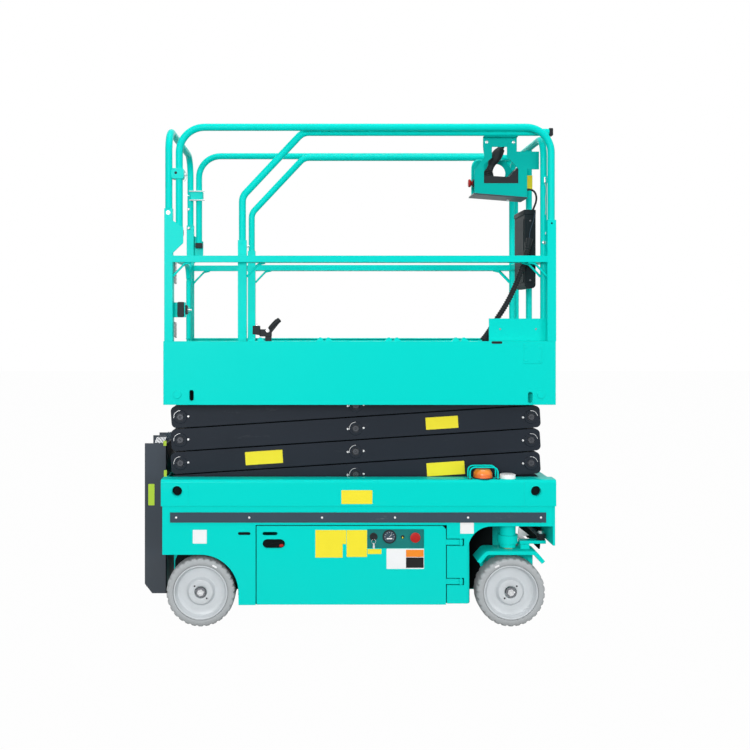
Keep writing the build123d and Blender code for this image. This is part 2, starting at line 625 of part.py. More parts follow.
# Operator's control cage, hung from the right inner rail
cage_out = (296.0, 300.0)
cage_inner_out = (166.0, 170.0)
with BuildPart() as control_cage:
    right_plate([(616, inner_rail_z - 14), (768, inner_rail_z - 14), (768, 2118), (868, 2118), (868, 2038), (814, 2038),
                 (814, 1912), (577, 1930), (577, 2033), (622, 2093), (616, 2139)], cage_out)
    right_plate([(656, 2139), (724, 2139), (724, 2093), (775, 2040), (775, 1975), (620, 1975), (620, 2060), (656, 2090)],
                cage_out, Mode.SUBTRACT)
    right_plate([(577, 1930), (814, 1912), (814, 1916), (577, 1934)], (cage_inner_out[0], cage_out[1]))
    with BuildSketch(Plane.XZ.offset(cage_inner_out[0])) as inner_cheek:
        Polygon((590, 1930), (814, 1913), (814, 2010), (740, 2100), (590, 2100), align=None)
        fillet(inner_cheek.vertices().filter_by_position(Axis.Y, 2099, 2101).sort_by(Axis.X)[0], 34)
        with Locations((700, 2040)):
            Circle(44, mode=Mode.SUBTRACT)
    extrude(inner_cheek.sketch, amount=cage_inner_out[1] - cage_inner_out[0])
    right_span((616, 768), (300, 326), (inner_rail_z - 20, inner_rail_z - 16))
save(control_cage.part, "control_cage")

lever_y = -233.0
with BuildPart() as control_box:
    right_plate([(605, 1950), (790, 1940), (790, 2062), (776, 2050), (734, 2004), (605, 2012)], (170, 296))
    with Locations(Location((652, lever_y, 2024), (0, 0, 0))):
        Cone(30, 15, 40)
    bent_tube([(652, lever_y, 2030), (664, lever_y, 2062), (706, lever_y, 2130)], 20, 15)
    with Locations(Location((592, lever_y, 1985), (0, 90, 0))):
        Cylinder(15, 27)
save(control_box.part, "control_box")

box_x = (812.0, 862.0)
box_out = (60.0, 262.0)
box_z = (1503.0, 1857.0)
with BuildPart() as document_box:
    right_span(box_x, box_out, box_z)
    fillet(document_box.edges().filter_by(Axis.Y), 18)
    right_span((810, 832), (box_out[1], 276.9), (1686, 1712))
    for strut_out in (90, 220):
        right_span((box_x[1], front_hoop_x - 14), (strut_out, strut_out + 20), (1618, 1640))
save(document_box.part, "document_box")

with BuildPart() as latch_lever:
    right_plate([(-362, panel_z[1]), (-362, 1286), (-386, 1286), (-388, 1292), (-416, 1296), (-416, 1332),
                 (-390, 1332), (-384, 1318), (-334, 1318), (-334, panel_z[1])], (353, 369))
    right_plate([(-362, 1300), (-350, 1324), (-318, 1362), (-297, 1362), (-299, 1346), (-336, 1300)], (355, 367))
save(latch_lever.part, "latch_lever")

# Control conduit: a ribbed sleeve from the document box down to the deck
conduit_r = 11.0
conduit_y = -288.0
conduit_route = [(829, 1728), (817, 1668), (795, 1594), (764, 1512), (723, 1428),
                 (670, 1349), (626, 1275), (600, 1196), (600, 1124.3)]


def route_radii(route):
    # Each corner's arc takes 0.45 of the shorter of its two runs.
    radii = []
    for before, corner, after in zip(route, route[1:], route[2:]):
        first = (corner - before).length
        second = (after - corner).length
        turn = radians((corner - before).get_angle(after - corner))
        radii.append(0.45 * min(first, second) / tan(turn / 2))
    return radii


conduit_points = [Vector(x, conduit_y, z) for x, z in conduit_route]
conduit_radii = route_radii(conduit_points)
with BuildPart() as control_conduit:
    bent_tube(conduit_points, conduit_radii, conduit_r)
save(control_conduit.part, "control_conduit")
conduit_volume = pi * conduit_r ** 2 * sum((b - a).length for a, b in zip(conduit_points, conduit_points[1:]))
print("conduit radii", [round(radius) for radius in conduit_radii])
print("conduit volume", round(control_conduit.part.volume), "section by runs", round(conduit_volume))
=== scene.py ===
import json
import math
import bpy
import numpy as np
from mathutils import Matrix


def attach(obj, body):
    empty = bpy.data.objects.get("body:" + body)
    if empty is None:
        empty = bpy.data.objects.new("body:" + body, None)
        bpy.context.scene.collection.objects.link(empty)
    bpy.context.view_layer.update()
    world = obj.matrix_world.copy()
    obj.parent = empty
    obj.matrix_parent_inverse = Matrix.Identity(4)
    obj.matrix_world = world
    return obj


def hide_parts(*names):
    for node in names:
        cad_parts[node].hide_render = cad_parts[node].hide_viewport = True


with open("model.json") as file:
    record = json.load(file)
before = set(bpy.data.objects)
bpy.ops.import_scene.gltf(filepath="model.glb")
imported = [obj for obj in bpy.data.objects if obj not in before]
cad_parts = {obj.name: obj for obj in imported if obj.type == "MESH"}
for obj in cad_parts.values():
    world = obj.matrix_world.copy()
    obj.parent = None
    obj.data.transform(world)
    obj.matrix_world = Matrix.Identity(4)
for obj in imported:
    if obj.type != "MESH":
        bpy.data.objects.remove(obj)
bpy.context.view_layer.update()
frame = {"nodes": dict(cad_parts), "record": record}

# Camera: level, square to the machine's right side, at the photograph's distance
cameraView = {"place": (-0.158, -4.41, 1.358), "lens": 43.8, "sensor": 36.0, "shiftX": 0.085, "shiftY": -0.073}


def makeCamera(view):
    lens = bpy.data.cameras.new("sideCamera")
    camera = bpy.data.objects.new("sideCamera", lens)
    bpy.context.scene.collection.objects.link(camera)
    camera.location = view["place"]
    camera.rotation_euler = (math.pi / 2, 0, 0)
    lens.lens = view["lens"]
    lens.sensor_width = view["sensor"]
    lens.shift_x = view["shiftX"]
    lens.shift_y = view["shiftY"]
    bpy.context.scene.camera = camera


makeCamera(cameraView)
print("stage: camera")

# Cords: each is one smooth spline through its route's control points, in metres
cordLook = {
    "conduit_core": {"route": [(0.829, 1.728), (0.817, 1.668), (0.795, 1.594), (0.764, 1.512), (0.723, 1.428), (0.67, 1.349),
                               (0.626, 1.275), (0.6, 1.196), (0.6, 1.1243)], "side": -0.288, "diameter": 0.022,
                     "stiffness": "medium", "lay": "hanging"},
    "cage_cable": {"route": [(0.806, -0.286, 1.945), (0.828, -0.287, 1.951), (0.85, -0.286, 1.942), (0.8615, -0.28, 1.92),
                             (0.8625, -0.27, 1.896), (0.857, -0.256, 1.874), (0.85, -0.243, 1.852)], "diameter": 0.0088,
                   "stiffness": "medium", "lay": "loose"},
    "sensor_wire": {"route": [(0.856, -0.2665, 1.846), (0.853, -0.268, 1.818), (0.844, -0.2685, 1.79), (0.835, -0.2695, 1.765),
                              (0.832, -0.272, 1.742), (0.829, -0.277, 1.722)], "diameter": 0.004,
                    "stiffness": "limp", "lay": "hanging"},
}


def makeCord(name, look):
    # A NURBS curve of order three that starts and ends on its first and last control points
    points = [(p[0], look["side"], p[1]) if len(p) == 2 else p for p in look["route"]]
    curve = bpy.data.curves.new(name, "CURVE")
    curve.dimensions = "3D"
    spline = curve.splines.new("NURBS")
    spline.points.add(len(points) - 1)
    spline.points.foreach_set("co", [value for p in points for value in (*p, 1.0)])
    spline.points.foreach_set("radius", [look["diameter"] / 2] * len(points))
    spline.order_u = 3
    spline.use_endpoint_u = True
    spline.resolution_u = 24
    curve.use_fill_caps = True
    line = bpy.data.objects.new(name, curve)
    bpy.context.scene.collection.objects.link(line)
    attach(line, "extension")
    centre = bpy.data.meshes.new_from_object(line)
    path = np.empty(len(centre.vertices) * 3)
    centre.vertices.foreach_get("co", path)
    path = path.reshape(-1, 3)
    bpy.data.meshes.remove(centre)
    curve.bevel_depth = 1.0
    curve.bevel_resolution = 5
    length = np.linalg.norm(np.diff(path, axis=0), axis=1).sum()
    print("cord", name, round(float(length), 4))
    return line, path, float(length)


cords = {cordName: makeCord(cordName, look) for cordName, look in cordLook.items()}
print("stage: cords")



class Wire:
    # A node's socket. Each operator adds the Math node of its name and hands back that node's socket.
    def __init__(self, finish, socket):
        self.finish = finish
        self.socket = socket

    def __add__(self, other):
        return self.finish.maths("ADD", self, other)

    def __sub__(self, other):
        return self.finish.maths("SUBTRACT", self, other)

    def __rsub__(self, other):
        return self.finish.maths("SUBTRACT", other, self)

    def __mul__(self, other):
        return self.finish.maths("MULTIPLY", self, other)

    def __pow__(self, other):
        return self.finish.maths("POWER", self, other)

    __radd__ = __add__
    __rmul__ = __mul__


class Finish:
    # A material under construction: node() makes any node, and the rest are short names for common ones.
    def __init__(self, name):
        self.material = bpy.data.materials.new(name)
        self.material.use_nodes = True
        self.tree = self.material.node_tree
        self.tree.nodes.clear()
        self.place = self.node("ShaderNodeTexCoord", output="Object")

    def node(self, kind, settings=None, sockets=None, output=0):
        made = self.tree.nodes.new(kind)
        for key, value in (settings or {}).items():
            if key == "stops":
                ramp = made.color_ramp
                for extra in value[2:]:
                    ramp.elements.new(extra[0])
                for stop, (position, shade) in zip(ramp.elements, value):
                    stop.position = position
                    stop.color = (*shade, 1.0) if isinstance(shade, tuple) else (shade, shade, shade, 1.0)
            else:
                setattr(made, key, value)
        for key, value in (sockets or {}).items():
            if isinstance(value, Wire):
                self.tree.links.new(value.socket, made.inputs[key])
            elif isinstance(value, tuple) and made.inputs[key].type == "RGBA":
                made.inputs[key].default_value = (*value, 1.0)
            else:
                made.inputs[key].default_value = value
        return Wire(self, made.outputs[output]) if len(made.outputs) else None

    def maths(self, operation, first, second, clamp=False):
        return self.node("ShaderNodeMath", {"operation": operation, "use_clamp": clamp}, {0: first, 1: second})

    def clamp(self, value):
        return self.maths("ADD", value, 0.0, clamp=True)

    def noise(self, scale, detail=3.0, roughness=0.55, stretch=None):
        place = self.place if stretch is None else self.stretch(stretch)
        return self.node("ShaderNodeTexNoise", None,
                         {"Vector": place, "Scale": scale, "Detail": detail, "Roughness": roughness})

    def stretch(self, factors):
        return self.node("ShaderNodeVectorMath", {"operation": "MULTIPLY"}, {0: self.place, 1: factors})

    def part(self, axis):
        return self.node("ShaderNodeSeparateXYZ", None, {0: self.place}, output=axis)

    def step(self, value, start, end):
        # 0 below start and 1 above end, with a smooth slope between
        return self.node("ShaderNodeMapRange", {"interpolation_type": "SMOOTHSTEP"},
                         {"Value": value, "From Min": start, "From Max": end})

    def blend(self, share, first, second):
        return self.node("ShaderNodeMix", {"data_type": "RGBA"}, {0: share, 6: first, 7: second}, output=2)

    def edges(self, radius):
        # 1 where the surface turns a corner within the radius, 0 on flat stretches
        rounded = self.node("ShaderNodeBevel", {"samples": 4}, {"Radius": radius})
        flat = self.node("ShaderNodeNewGeometry", output="Normal")
        alike = self.node("ShaderNodeVectorMath", {"operation": "DOT_PRODUCT"}, {0: rounded, 1: flat}, output="Value")
        return self.step(1.0 - alike, 0.02, 0.3), rounded

    def bump(self, height, strength, distance, normal=None):
        sockets = {"Height": height, "Strength": strength, "Distance": distance}
        if normal is not None:
            sockets["Normal"] = normal
        return self.node("ShaderNodeBump", None, sockets)

    def shade(self, sockets):
        surface = self.node("ShaderNodeBsdfPrincipled", None, sockets)
        self.node("ShaderNodeOutputMaterial", None, {"Surface": surface})
        return self.material


def paint(name, look):
    # Sprayed enamel: cloudy colour, orange-peel bump, paler edges that are painted highlight with slight wear, and road
    # dust low down
    f = Finish(name)
    colour = look["colour"]
    cloud = f.noise(look["cloudScale"], 4.0)
    peel = f.noise(look["peelScale"], 2.0)
    scuff = f.step(f.noise(look["scuffScale"], 6.0, 0.7, stretch=(0.25, 0.25, 1.0)), 0.62, 0.72)
    edge, rounded = f.edges(look["edge"])
    dark = tuple(v * look["shade"] for v in colour)
    base = f.blend(cloud, colour, dark)
    # Paler colour along the edges: painted highlight on the rounded edges, with slight wear
    base = f.blend(edge * look["edgeShare"], base, look["edgeColour"])
    base = f.blend(scuff * look["scuffShare"], base, look["dust"])
    low = 1.0 - f.step(f.part(2), 0.05, 0.55)
    base = f.blend(low * cloud * look["dustShare"], base, look["dust"])
    rough = look["roughness"] + 0.12 * cloud + 0.2 * scuff * look["scuffShare"]
    return f.shade({"Base Color": base, "Roughness": f.clamp(rough), "Metallic": 0.0, "Coat Weight": look["coat"],
                    "Coat Roughness": 0.12, "IOR": 1.5, "Specular IOR Level": look["sheen"],
                    "Normal": f.bump(peel, look["peel"], 0.0004, rounded)})


paints = {
    "turquoise": {"colour": (0.0, 0.69, 0.615), "shade": 0.965, "roughness": 0.34, "coat": 0.02, "edge": 0.003,
                  "sheen": 0.05, "edgeColour": (0.03, 0.82, 0.78), "edgeShare": 0.3, "cloudScale": 3.2, "peelScale": 620.0,
                  "peel": 0.12, "scuffScale": 9.0, "scuffShare": 0.04, "dust": (0.1, 0.56, 0.53), "dustShare": 0.06},
    # Darker turquoise for the control cage: painted shade, where the top rail shades the cage
    "shadedTurquoise": {"colour": (0.0, 0.45, 0.4), "shade": 0.9, "roughness": 0.36, "coat": 0.02, "edge": 0.003,
                        "sheen": 0.05, "edgeColour": (0.01, 0.6, 0.55), "edgeShare": 0.3, "cloudScale": 3.2, "peelScale": 620.0,
                        "peel": 0.12, "scuffScale": 9.0, "scuffShare": 0.03, "dust": (0.1, 0.5, 0.46), "dustShare": 0.05},
    "charcoal": {"colour": (0.0125, 0.0185, 0.0285), "shade": 0.75, "roughness": 0.42, "coat": 0.03, "sheen": 0.14, "edge": 0.003,
                 "edgeColour": (0.1, 0.12, 0.15), "edgeShare": 0.4, "cloudScale": 5.5, "peelScale": 480.0,
                 "peel": 0.25, "scuffScale": 14.0, "scuffShare": 0.12, "dust": (0.12, 0.13, 0.14), "dustShare": 0.08},
    "slate": {"colour": (0.036, 0.064, 0.09), "shade": 0.85, "roughness": 0.5, "coat": 0.0, "sheen": 0.2, "edge": 0.002,
              "edgeColour": (0.16, 0.19, 0.22), "edgeShare": 0.5, "cloudScale": 7.0, "peelScale": 800.0,
              "peel": 0.3, "scuffScale": 16.0, "scuffShare": 0.2, "dust": (0.28, 0.3, 0.31), "dustShare": 0.1},
    "steel": {"colour": (0.03, 0.043, 0.06), "shade": 0.8, "roughness": 0.4, "coat": 0.03, "sheen": 0.3, "edge": 0.002,
              "edgeColour": (0.25, 0.26, 0.28), "edgeShare": 0.5, "cloudScale": 8.0, "peelScale": 500.0,
              "peel": 0.2, "scuffScale": 12.0, "scuffShare": 0.2, "dust": (0.24, 0.24, 0.23), "dustShare": 0.15},
    "silver": {"colour": (0.64, 0.68, 0.71), "shade": 0.86, "roughness": 0.4, "coat": 0.1, "sheen": 0.5, "edge": 0.002,
               "edgeColour": (0.85, 0.87, 0.9), "edgeShare": 0.5, "cloudScale": 14.0, "peelScale": 700.0,
               "peel": 0.15, "scuffScale": 30.0, "scuffShare": 0.2, "dust": (0.4, 0.4, 0.38), "dustShare": 0.2},
}


def rubber(name, look):
    # Non-marking rubber: fine grain, scuffed tread, paler edges of painted highlight and a darker tone towards the
    # bottom
    f = Finish(name)
    grain = f.noise(look["grainScale"], 3.0, 0.6)
    patch = f.noise(look["patchScale"], 5.0, 0.65)
    edge, rounded = f.edges(0.002)
    base = f.blend(patch, look["colour"], look["worn"])
    # Paler edges: painted highlight
    base = f.blend(edge * 0.35, base, look["edgeColour"])
    # Darker towards the bottom of the tyre
    low = 1.0 - f.step(f.part(2), 0.0, 0.09)
    base = f.blend(low * patch * 0.5, base, look["dirt"])
    return f.shade({"Base Color": base, "Roughness": f.clamp(0.72 + 0.2 * grain), "IOR": 1.45,
                    "Normal": f.bump(grain, 0.35, 0.0006, rounded)})


rubbers = {"tyre": {"colour": (0.36, 0.385, 0.4), "worn": (0.44, 0.46, 0.47), "edgeColour": (0.55, 0.57, 0.58),
                    "dirt": (0.22, 0.22, 0.21), "grainScale": 420.0, "patchScale": 9.0}}


def plastic(name, look):
    # Moulded plastic: fine leather-like grain, faint handling marks and paler edges of painted highlight
    f = Finish(name)
    cell = f.node("ShaderNodeTexVoronoi", {"feature": "F1"}, {"Vector": f.place, "Scale": look["grainScale"]})
    mark = f.noise(look["markScale"], 5.0, 0.65)
    edge, rounded = f.edges(0.0015)
    base = f.blend(mark, look["colour"], tuple(min(1.0, v * look["lift"]) for v in look["colour"]))
    # Paler edges: painted highlight along the corners
    base = f.blend(edge * 0.3, base, look["edgeColour"])
    rough = look["roughness"] + 0.16 * mark
    return f.shade({"Base Color": base, "Roughness": f.clamp(rough), "IOR": 1.47, "Specular IOR Level": look["sheen"],
                    "Normal": f.bump(cell, look["grain"], 0.0003, rounded)})


plastics = {
    "black": {"colour": (0.012, 0.015, 0.017), "lift": 1.6, "sheen": 0.16, "edgeColour": (0.12, 0.12, 0.13), "roughness": 0.42,
              "grainScale": 900.0, "grain": 0.3, "markScale": 18.0},
    "boxGrey": {"colour": (0.008, 0.014, 0.017), "lift": 1.2, "sheen": 0.14, "edgeColour": (0.09, 0.14, 0.14), "roughness": 0.5,
                "grainScale": 700.0, "grain": 0.3, "markScale": 12.0},
    "teal": {"colour": (0.005, 0.16, 0.15), "lift": 1.3, "sheen": 0.2, "edgeColour": (0.04, 0.16, 0.16), "roughness": 0.5,
             "grainScale": 700.0, "grain": 0.2, "markScale": 15.0},
    "red": {"colour": (0.42, 0.012, 0.01), "sheen": 0.25, "lift": 1.15, "edgeColour": (0.75, 0.1, 0.08), "roughness": 0.3,
            "grainScale": 900.0, "grain": 0.08, "markScale": 30.0},
    "yellow": {"colour": (0.86, 0.74, 0.03), "sheen": 0.25, "lift": 1.08, "edgeColour": (0.85, 0.78, 0.3), "roughness": 0.34,
               "grainScale": 800.0, "grain": 0.06, "markScale": 22.0},
    "orange": {"colour": (0.85, 0.25, 0.02), "sheen": 0.25, "lift": 1.08, "edgeColour": (0.9, 0.45, 0.2), "roughness": 0.34,
               "grainScale": 800.0, "grain": 0.06, "markScale": 22.0},
    "lime": {"colour": (0.5, 0.72, 0.05), "sheen": 0.25, "lift": 1.08, "edgeColour": (0.75, 0.85, 0.4), "roughness": 0.34,
             "grainScale": 800.0, "grain": 0.06, "markScale": 22.0},
    "white": {"colour": (0.84, 0.85, 0.86), "sheen": 0.25, "lift": 1.07, "edgeColour": (0.85, 0.86, 0.86), "roughness": 0.36,
              "grainScale": 800.0, "grain": 0.06, "markScale": 22.0},
    "blackBlank": {"colour": (0.012, 0.011, 0.011), "sheen": 0.15, "lift": 1.3, "edgeColour": (0.1, 0.1, 0.1), "roughness": 0.36,
                   "grainScale": 800.0, "grain": 0.06, "markScale": 22.0},
    "shade": {"colour": (0.006, 0.0085, 0.009), "lift": 1.3, "sheen": 0.05, "edgeColour": (0.015, 0.016, 0.016),
              "roughness": 0.7, "grainScale": 500.0, "grain": 0.2, "markScale": 12.0},
}


def bareMetal(name, look):
    # Machined or plated metal: fine turning lines and patchy stains
    f = Finish(name)
    line = f.noise(look["lineScale"], 2.0, 0.5, stretch=look["lineStretch"])
    stain = f.noise(look["stainScale"], 5.0, 0.6)
    base = f.blend(stain, look["colour"], look["stain"])
    rough = look["roughness"] + 0.14 * stain + 0.06 * line
    return f.shade({"Base Color": base, "Roughness": f.clamp(rough), "Metallic": 1.0,
                    "Normal": f.bump(line, look["lines"], 0.0002)})


metals = {
    "chrome": {"colour": (0.8, 0.81, 0.83), "stain": (0.7, 0.71, 0.73), "roughness": 0.08, "lineScale": 300.0,
               "lineStretch": (0.2, 1.0, 1.0), "stainScale": 9.0, "lines": 0.05},
    "zinc": {"colour": (0.66, 0.67, 0.68), "stain": (0.5, 0.51, 0.52), "roughness": 0.28, "lineScale": 500.0,
             "lineStretch": (1.0, 1.0, 1.0), "stainScale": 40.0, "lines": 0.15},
    "brass": {"colour": (0.62, 0.42, 0.14), "stain": (0.45, 0.3, 0.1), "roughness": 0.3, "lineScale": 300.0,
              "lineStretch": (1.0, 1.0, 3.0), "stainScale": 30.0, "lines": 0.15},
    "darkPin": {"colour": (0.075, 0.08, 0.09), "stain": (0.04, 0.042, 0.048), "roughness": 0.3, "lineScale": 320.0,
                "lineStretch": (1.0, 1.0, 1.0), "stainScale": 45.0, "lines": 0.2},
    "pinSteel": {"colour": (0.2, 0.21, 0.23), "stain": (0.12, 0.12, 0.13), "roughness": 0.36, "lineScale": 320.0,
                 "lineStretch": (1.0, 1.0, 1.0), "stainScale": 45.0, "lines": 0.2},
}


def lens(name, look):
    # Ribbed amber lens: deeper colour towards the base, glossy face
    f = Finish(name)
    depth = f.step(f.part(2), 0.655, 0.7)
    haze = f.noise(60.0, 3.0)
    base = f.blend(depth, look["deep"], look["pale"])
    return f.shade({"Base Color": base, "Roughness": f.clamp(0.1 + 0.1 * haze), "IOR": 1.49, "Coat Weight": 0.5,
                    "Coat Roughness": 0.05, "Normal": f.bump(haze, 0.05, 0.0003)})


lenses = {"amber": {"deep": (0.85, 0.15, 0.005), "pale": (0.95, 0.3, 0.02)}}

finishes = {}
for kind, table in ((paint, paints), (rubber, rubbers), (plastic, plastics), (bareMetal, metals), (lens, lenses)):
    for finishName, look in table.items():
        finishes[finishName] = kind(finishName, look)

slotFinish = {"turquoise_paint": "turquoise", "charcoal_paint": "charcoal", "slate_strip": "slate",
              "grey_tyre": "tyre", "silver_wheel": "silver", "amber_lens": "amber", "black_plastic": "black",
              "dark_steel": "steel", "rod_chrome": "chrome"}
# The control cage gets the darker turquoise of painted shade
nodeFinish = {"ground_controls": "teal", "document_box": "boxGrey", "control_cage": "shadedTurquoise"}
for subpart in frame["record"]["subparts"]:
    cadNode = frame["nodes"][subpart["node"]]
    chosen = nodeFinish.get(subpart["node"], slotFinish[subpart["material_slot"]])
    for materialSlot in cadNode.material_slots:
        materialSlot.material = finishes[chosen]
print("stage: finishes")

# Mesh kit, in millimetres. A part is a pair: an array of points and a list of faces.
def unit(vector):
    vector = np.asarray(vector, float)
    return vector / np.linalg.norm(vector)


def square(axis):
    # Two unit vectors square to the axis and to each other
    axis = unit(axis)
    helper = np.array((0.0, 0.0, 1.0)) if abs(axis[2]) < 0.9 else np.array((1.0, 0.0, 0.0))
    side = unit(np.cross(helper, axis))
    return side, np.cross(axis, side)


def outward(points, faces):
    # The signed volume adds up a . (b x c) over each face's fan of triangles; where it is negative, faces turn round
    total = 0.0
    centre = points.mean(0)
    for size in sorted({len(face) for face in faces}):
        corners = points[np.array([face for face in faces if len(face) == size])] - centre
        for k in range(1, size - 1):
            total += np.einsum("ij,ij->i", corners[:, 0], np.cross(corners[:, k], corners[:, k + 1])).sum()
    return (points, faces) if total >= 0 else (points, [face[::-1] for face in faces])


def joinRings(rings, closed=False):
    # Rings of equal length, shape (rings, points, 3): quads join each ring to the next, and caps close open ends
    count, around = rings.shape[:2]
    first = np.arange(count if closed else count - 1)[:, None]
    turn = np.arange(around)[None, :]
    after = (first + 1) % count
    beside = (turn + 1) % around
    quads = np.stack([first * around + turn, first * around + beside, after * around + beside,
                      after * around + turn], -1).reshape(-1, 4).tolist()
    if not closed:
        quads.append(list(range(around))[::-1])
        quads.append(list(range((count - 1) * around, count * around)))
    return outward(rings.reshape(-1, 3), quads)


def revolve(profile, centre, axis, segments=32, closed=False):
    # Each profile point (along, radius) goes round the axis: centre + along * axis + radius * (cos t side + sin t up)
    profile = np.asarray(profile, float)
    axis = unit(axis)
    side, up = square(axis)
    turn = np.linspace(0, 2 * math.pi, segments, endpoint=False)
    circle = np.cos(turn)[:, None] * side + np.sin(turn)[:, None] * up
    rings = np.asarray(centre, float) + profile[:, None, :1] * axis + profile[:, None, 1:] * circle
    return joinRings(rings, closed)


def stackOutline(outline, levels, origin, across, up, out):
    # Each level (height, inset) repeats the outline at origin + u * across + v * up + height * out, drawn in by inset
    outline = np.asarray(outline, float)
    ahead = np.roll(outline, -1, 0) - outline
    ahead /= np.linalg.norm(ahead, axis=1)[:, None]
    behind = np.roll(ahead, 1, 0)
    normal = np.stack([-(ahead[:, 1] + behind[:, 1]), ahead[:, 0] + behind[:, 0]], 1)
    reach = np.maximum((normal ** 2).sum(1) / 2, 0.3)
    area = (outline[:, 0] * np.roll(outline[:, 1], -1) - np.roll(outline[:, 0], -1) * outline[:, 1]).sum()
    inward = normal / reach[:, None] * (1 if area > 0 else -1)
    levels = np.asarray(levels, float)
    flat = outline[None] + levels[:, 1, None, None] * inward[None]
    rings = (np.asarray(origin, float) + flat[..., :1] * np.asarray(across, float)
             + flat[..., 1:] * np.asarray(up, float) + levels[:, 0, None, None] * np.asarray(out, float))
    return joinRings(rings)


def roundedBox(width, height, radius, steps=4):
    # Four quarter circles at the corners of a rectangle, anticlockwise
    turn = np.linspace(0, math.pi / 2, steps + 1)
    corners = []
    for k, (sx, sy) in enumerate(((1, 1), (-1, 1), (-1, -1), (1, -1))):
        angle = turn + k * math.pi / 2
        corners.append(np.stack([sx * (width / 2 - radius) + radius * np.cos(angle),
                                 sy * (height / 2 - radius) + radius * np.sin(angle)], 1))
    return np.concatenate(corners)


def polygon(sides, radius, turn=0.0):
    angle = np.linspace(0, 2 * math.pi, sides, endpoint=False) + turn
    return np.stack([radius * np.cos(angle), radius * np.sin(angle)], 1)


def rimLevels(depth, bevel):
    return [(0, bevel), (bevel, 0), (depth - bevel, 0), (depth, bevel)]


def block(x, y, z, bevel=0.8, radius=2.0, axis=1):
    # A box between its bounds: a rounded rectangle square to the axis, carried through with a bevelled rim
    bounds = np.array([sorted(x), sorted(y), sorted(z)], float)
    centre = bounds.mean(1)
    size = bounds[:, 1] - bounds[:, 0]
    first, second = [k for k in range(3) if k != axis]
    basis = np.eye(3)
    origin = centre.copy()
    origin[axis] = bounds[axis, 0]
    outline = roundedBox(size[first], size[second], min(radius, 0.45 * size[first], 0.45 * size[second]), 2)
    return stackOutline(outline, rimLevels(size[axis], bevel), origin, basis[first], basis[second], basis[axis])


def sidePlate(outline, out, bevel=0.6):
    # A flat plate on the right side from an outline of (x, z) points, between two distances out
    return stackOutline(outline, rimLevels(out[1] - out[0], bevel), (0, -out[0], 0), (1, 0, 0), (0, 0, 1), (0, -1, 0))


def label(x, z, out, slope=0.0, thick=0.4, radius=2.5):
    # A thin rounded sheet on a face of the right side, turned by the slope in degrees about its own middle
    c, s = math.cos(math.radians(slope)), math.sin(math.radians(slope))
    outline = roundedBox(x[1] - x[0], z[1] - z[0], radius, 3)
    middle = ((x[0] + x[1]) / 2, -out, (z[0] + z[1]) / 2)
    return stackOutline(outline, [(0, 0), (thick * 0.6, 0), (thick, thick * 0.4)], middle, (c, 0, s), (-s, 0, c), (0, -1, 0))


def tube(path, radius, sides=14, closed=False, reference=None):
    # A circle carried along the path, square to its direction; the reference vector fixes where the circle starts
    path = np.asarray(path, float)
    if closed:
        along = np.roll(path, -1, 0) - np.roll(path, 1, 0)
    else:
        along = np.gradient(path, axis=0)
    along /= np.linalg.norm(along, axis=1)[:, None]
    if reference is None:
        reference = np.linalg.svd(path - path.mean(0))[2][-1]
    side = np.cross(np.asarray(reference, float), along)
    side /= np.maximum(np.linalg.norm(side, axis=1), 1e-6)[:, None]
    up = np.cross(along, side)
    turn = np.linspace(0, 2 * math.pi, sides, endpoint=False)
    radius = np.broadcast_to(np.asarray(radius, float), (len(path),))
    rings = path[:, None] + radius[:, None, None] * (np.cos(turn)[:, None] * side[:, None] + np.sin(turn)[:, None] * up[:, None])
    return joinRings(rings, closed)


def smoothPath(points, count=40, closed=False):
    # Catmull-Rom curve: each span blends its four neighbouring points with cubic weights
    points = np.asarray(points, float)
    if closed:
        padded = np.concatenate([points[-1:], points, points[:2]])
    else:
        padded = np.concatenate([2 * points[:1] - points[1:2], points, 2 * points[-1:] - points[-2:-1]])
    spans = len(padded) - 3
    place = np.linspace(0, spans, count, endpoint=not closed)
    start = np.minimum(place.astype(int), spans - 1)
    t = (place - start)[:, None]
    a, b, c, d = (padded[start + k] for k in range(4))
    return 0.5 * (2 * b + (c - a) * t + (2 * a - 5 * b + 4 * c - d) * t ** 2 + (3 * b - a - 3 * c + d) * t ** 3)


def roundedRoute(points, bend, steps=8):
    # Straight runs joined by arcs: each corner's arc is the quadratic blend of its two tangent points and the corner
    points = np.asarray(points, float)
    route = [points[:1]]
    t = np.linspace(0, 1, steps)[:, None]
    for before, corner, after in zip(points, points[1:], points[2:]):
        first = min(bend, 0.48 * np.linalg.norm(before - corner))
        second = min(bend, 0.48 * np.linalg.norm(after - corner))
        start = corner + first * unit(before - corner)
        end = corner + second * unit(after - corner)
        route.append((1 - t) ** 2 * start + 2 * t * (1 - t) * corner + t ** 2 * end)
    route.append(points[-1:])
    return np.concatenate(route)


def mirrored(part):
    # The same part on the other side of the middle plane
    points, faces = part
    return points * (1, -1, 1), [face[::-1] for face in faces]


def bothSides(parts):
    return list(parts) + [mirrored(part) for part in parts]


def moved(part, offset):
    return part[0] + np.asarray(offset, float), part[1]


def hexBolt(place, axis, size, height, washer=1.35):
    # A washer and a hexagonal head with its corners chamfered
    side, up = square(axis)
    ring = revolve([(0, size * washer), (height * 0.18, size * washer), (height * 0.25, size * washer * 0.92)], place, axis, 20)
    levels = [(height * 0.2, 0), (height * 0.82, 0), (height, size * 0.12)]
    head = stackOutline(polygon(6, size), levels, place, side, up, unit(axis))
    return [ring, head]


def dome(place, axis, radius, height, segments=18):
    # A low domed head: the radius falls along a quarter circle as the height rises
    turn = np.linspace(0, math.pi / 2 * 0.94, 5)
    return revolve(np.stack([height * np.sin(turn), radius * np.cos(turn)], 1), place, axis, segments)


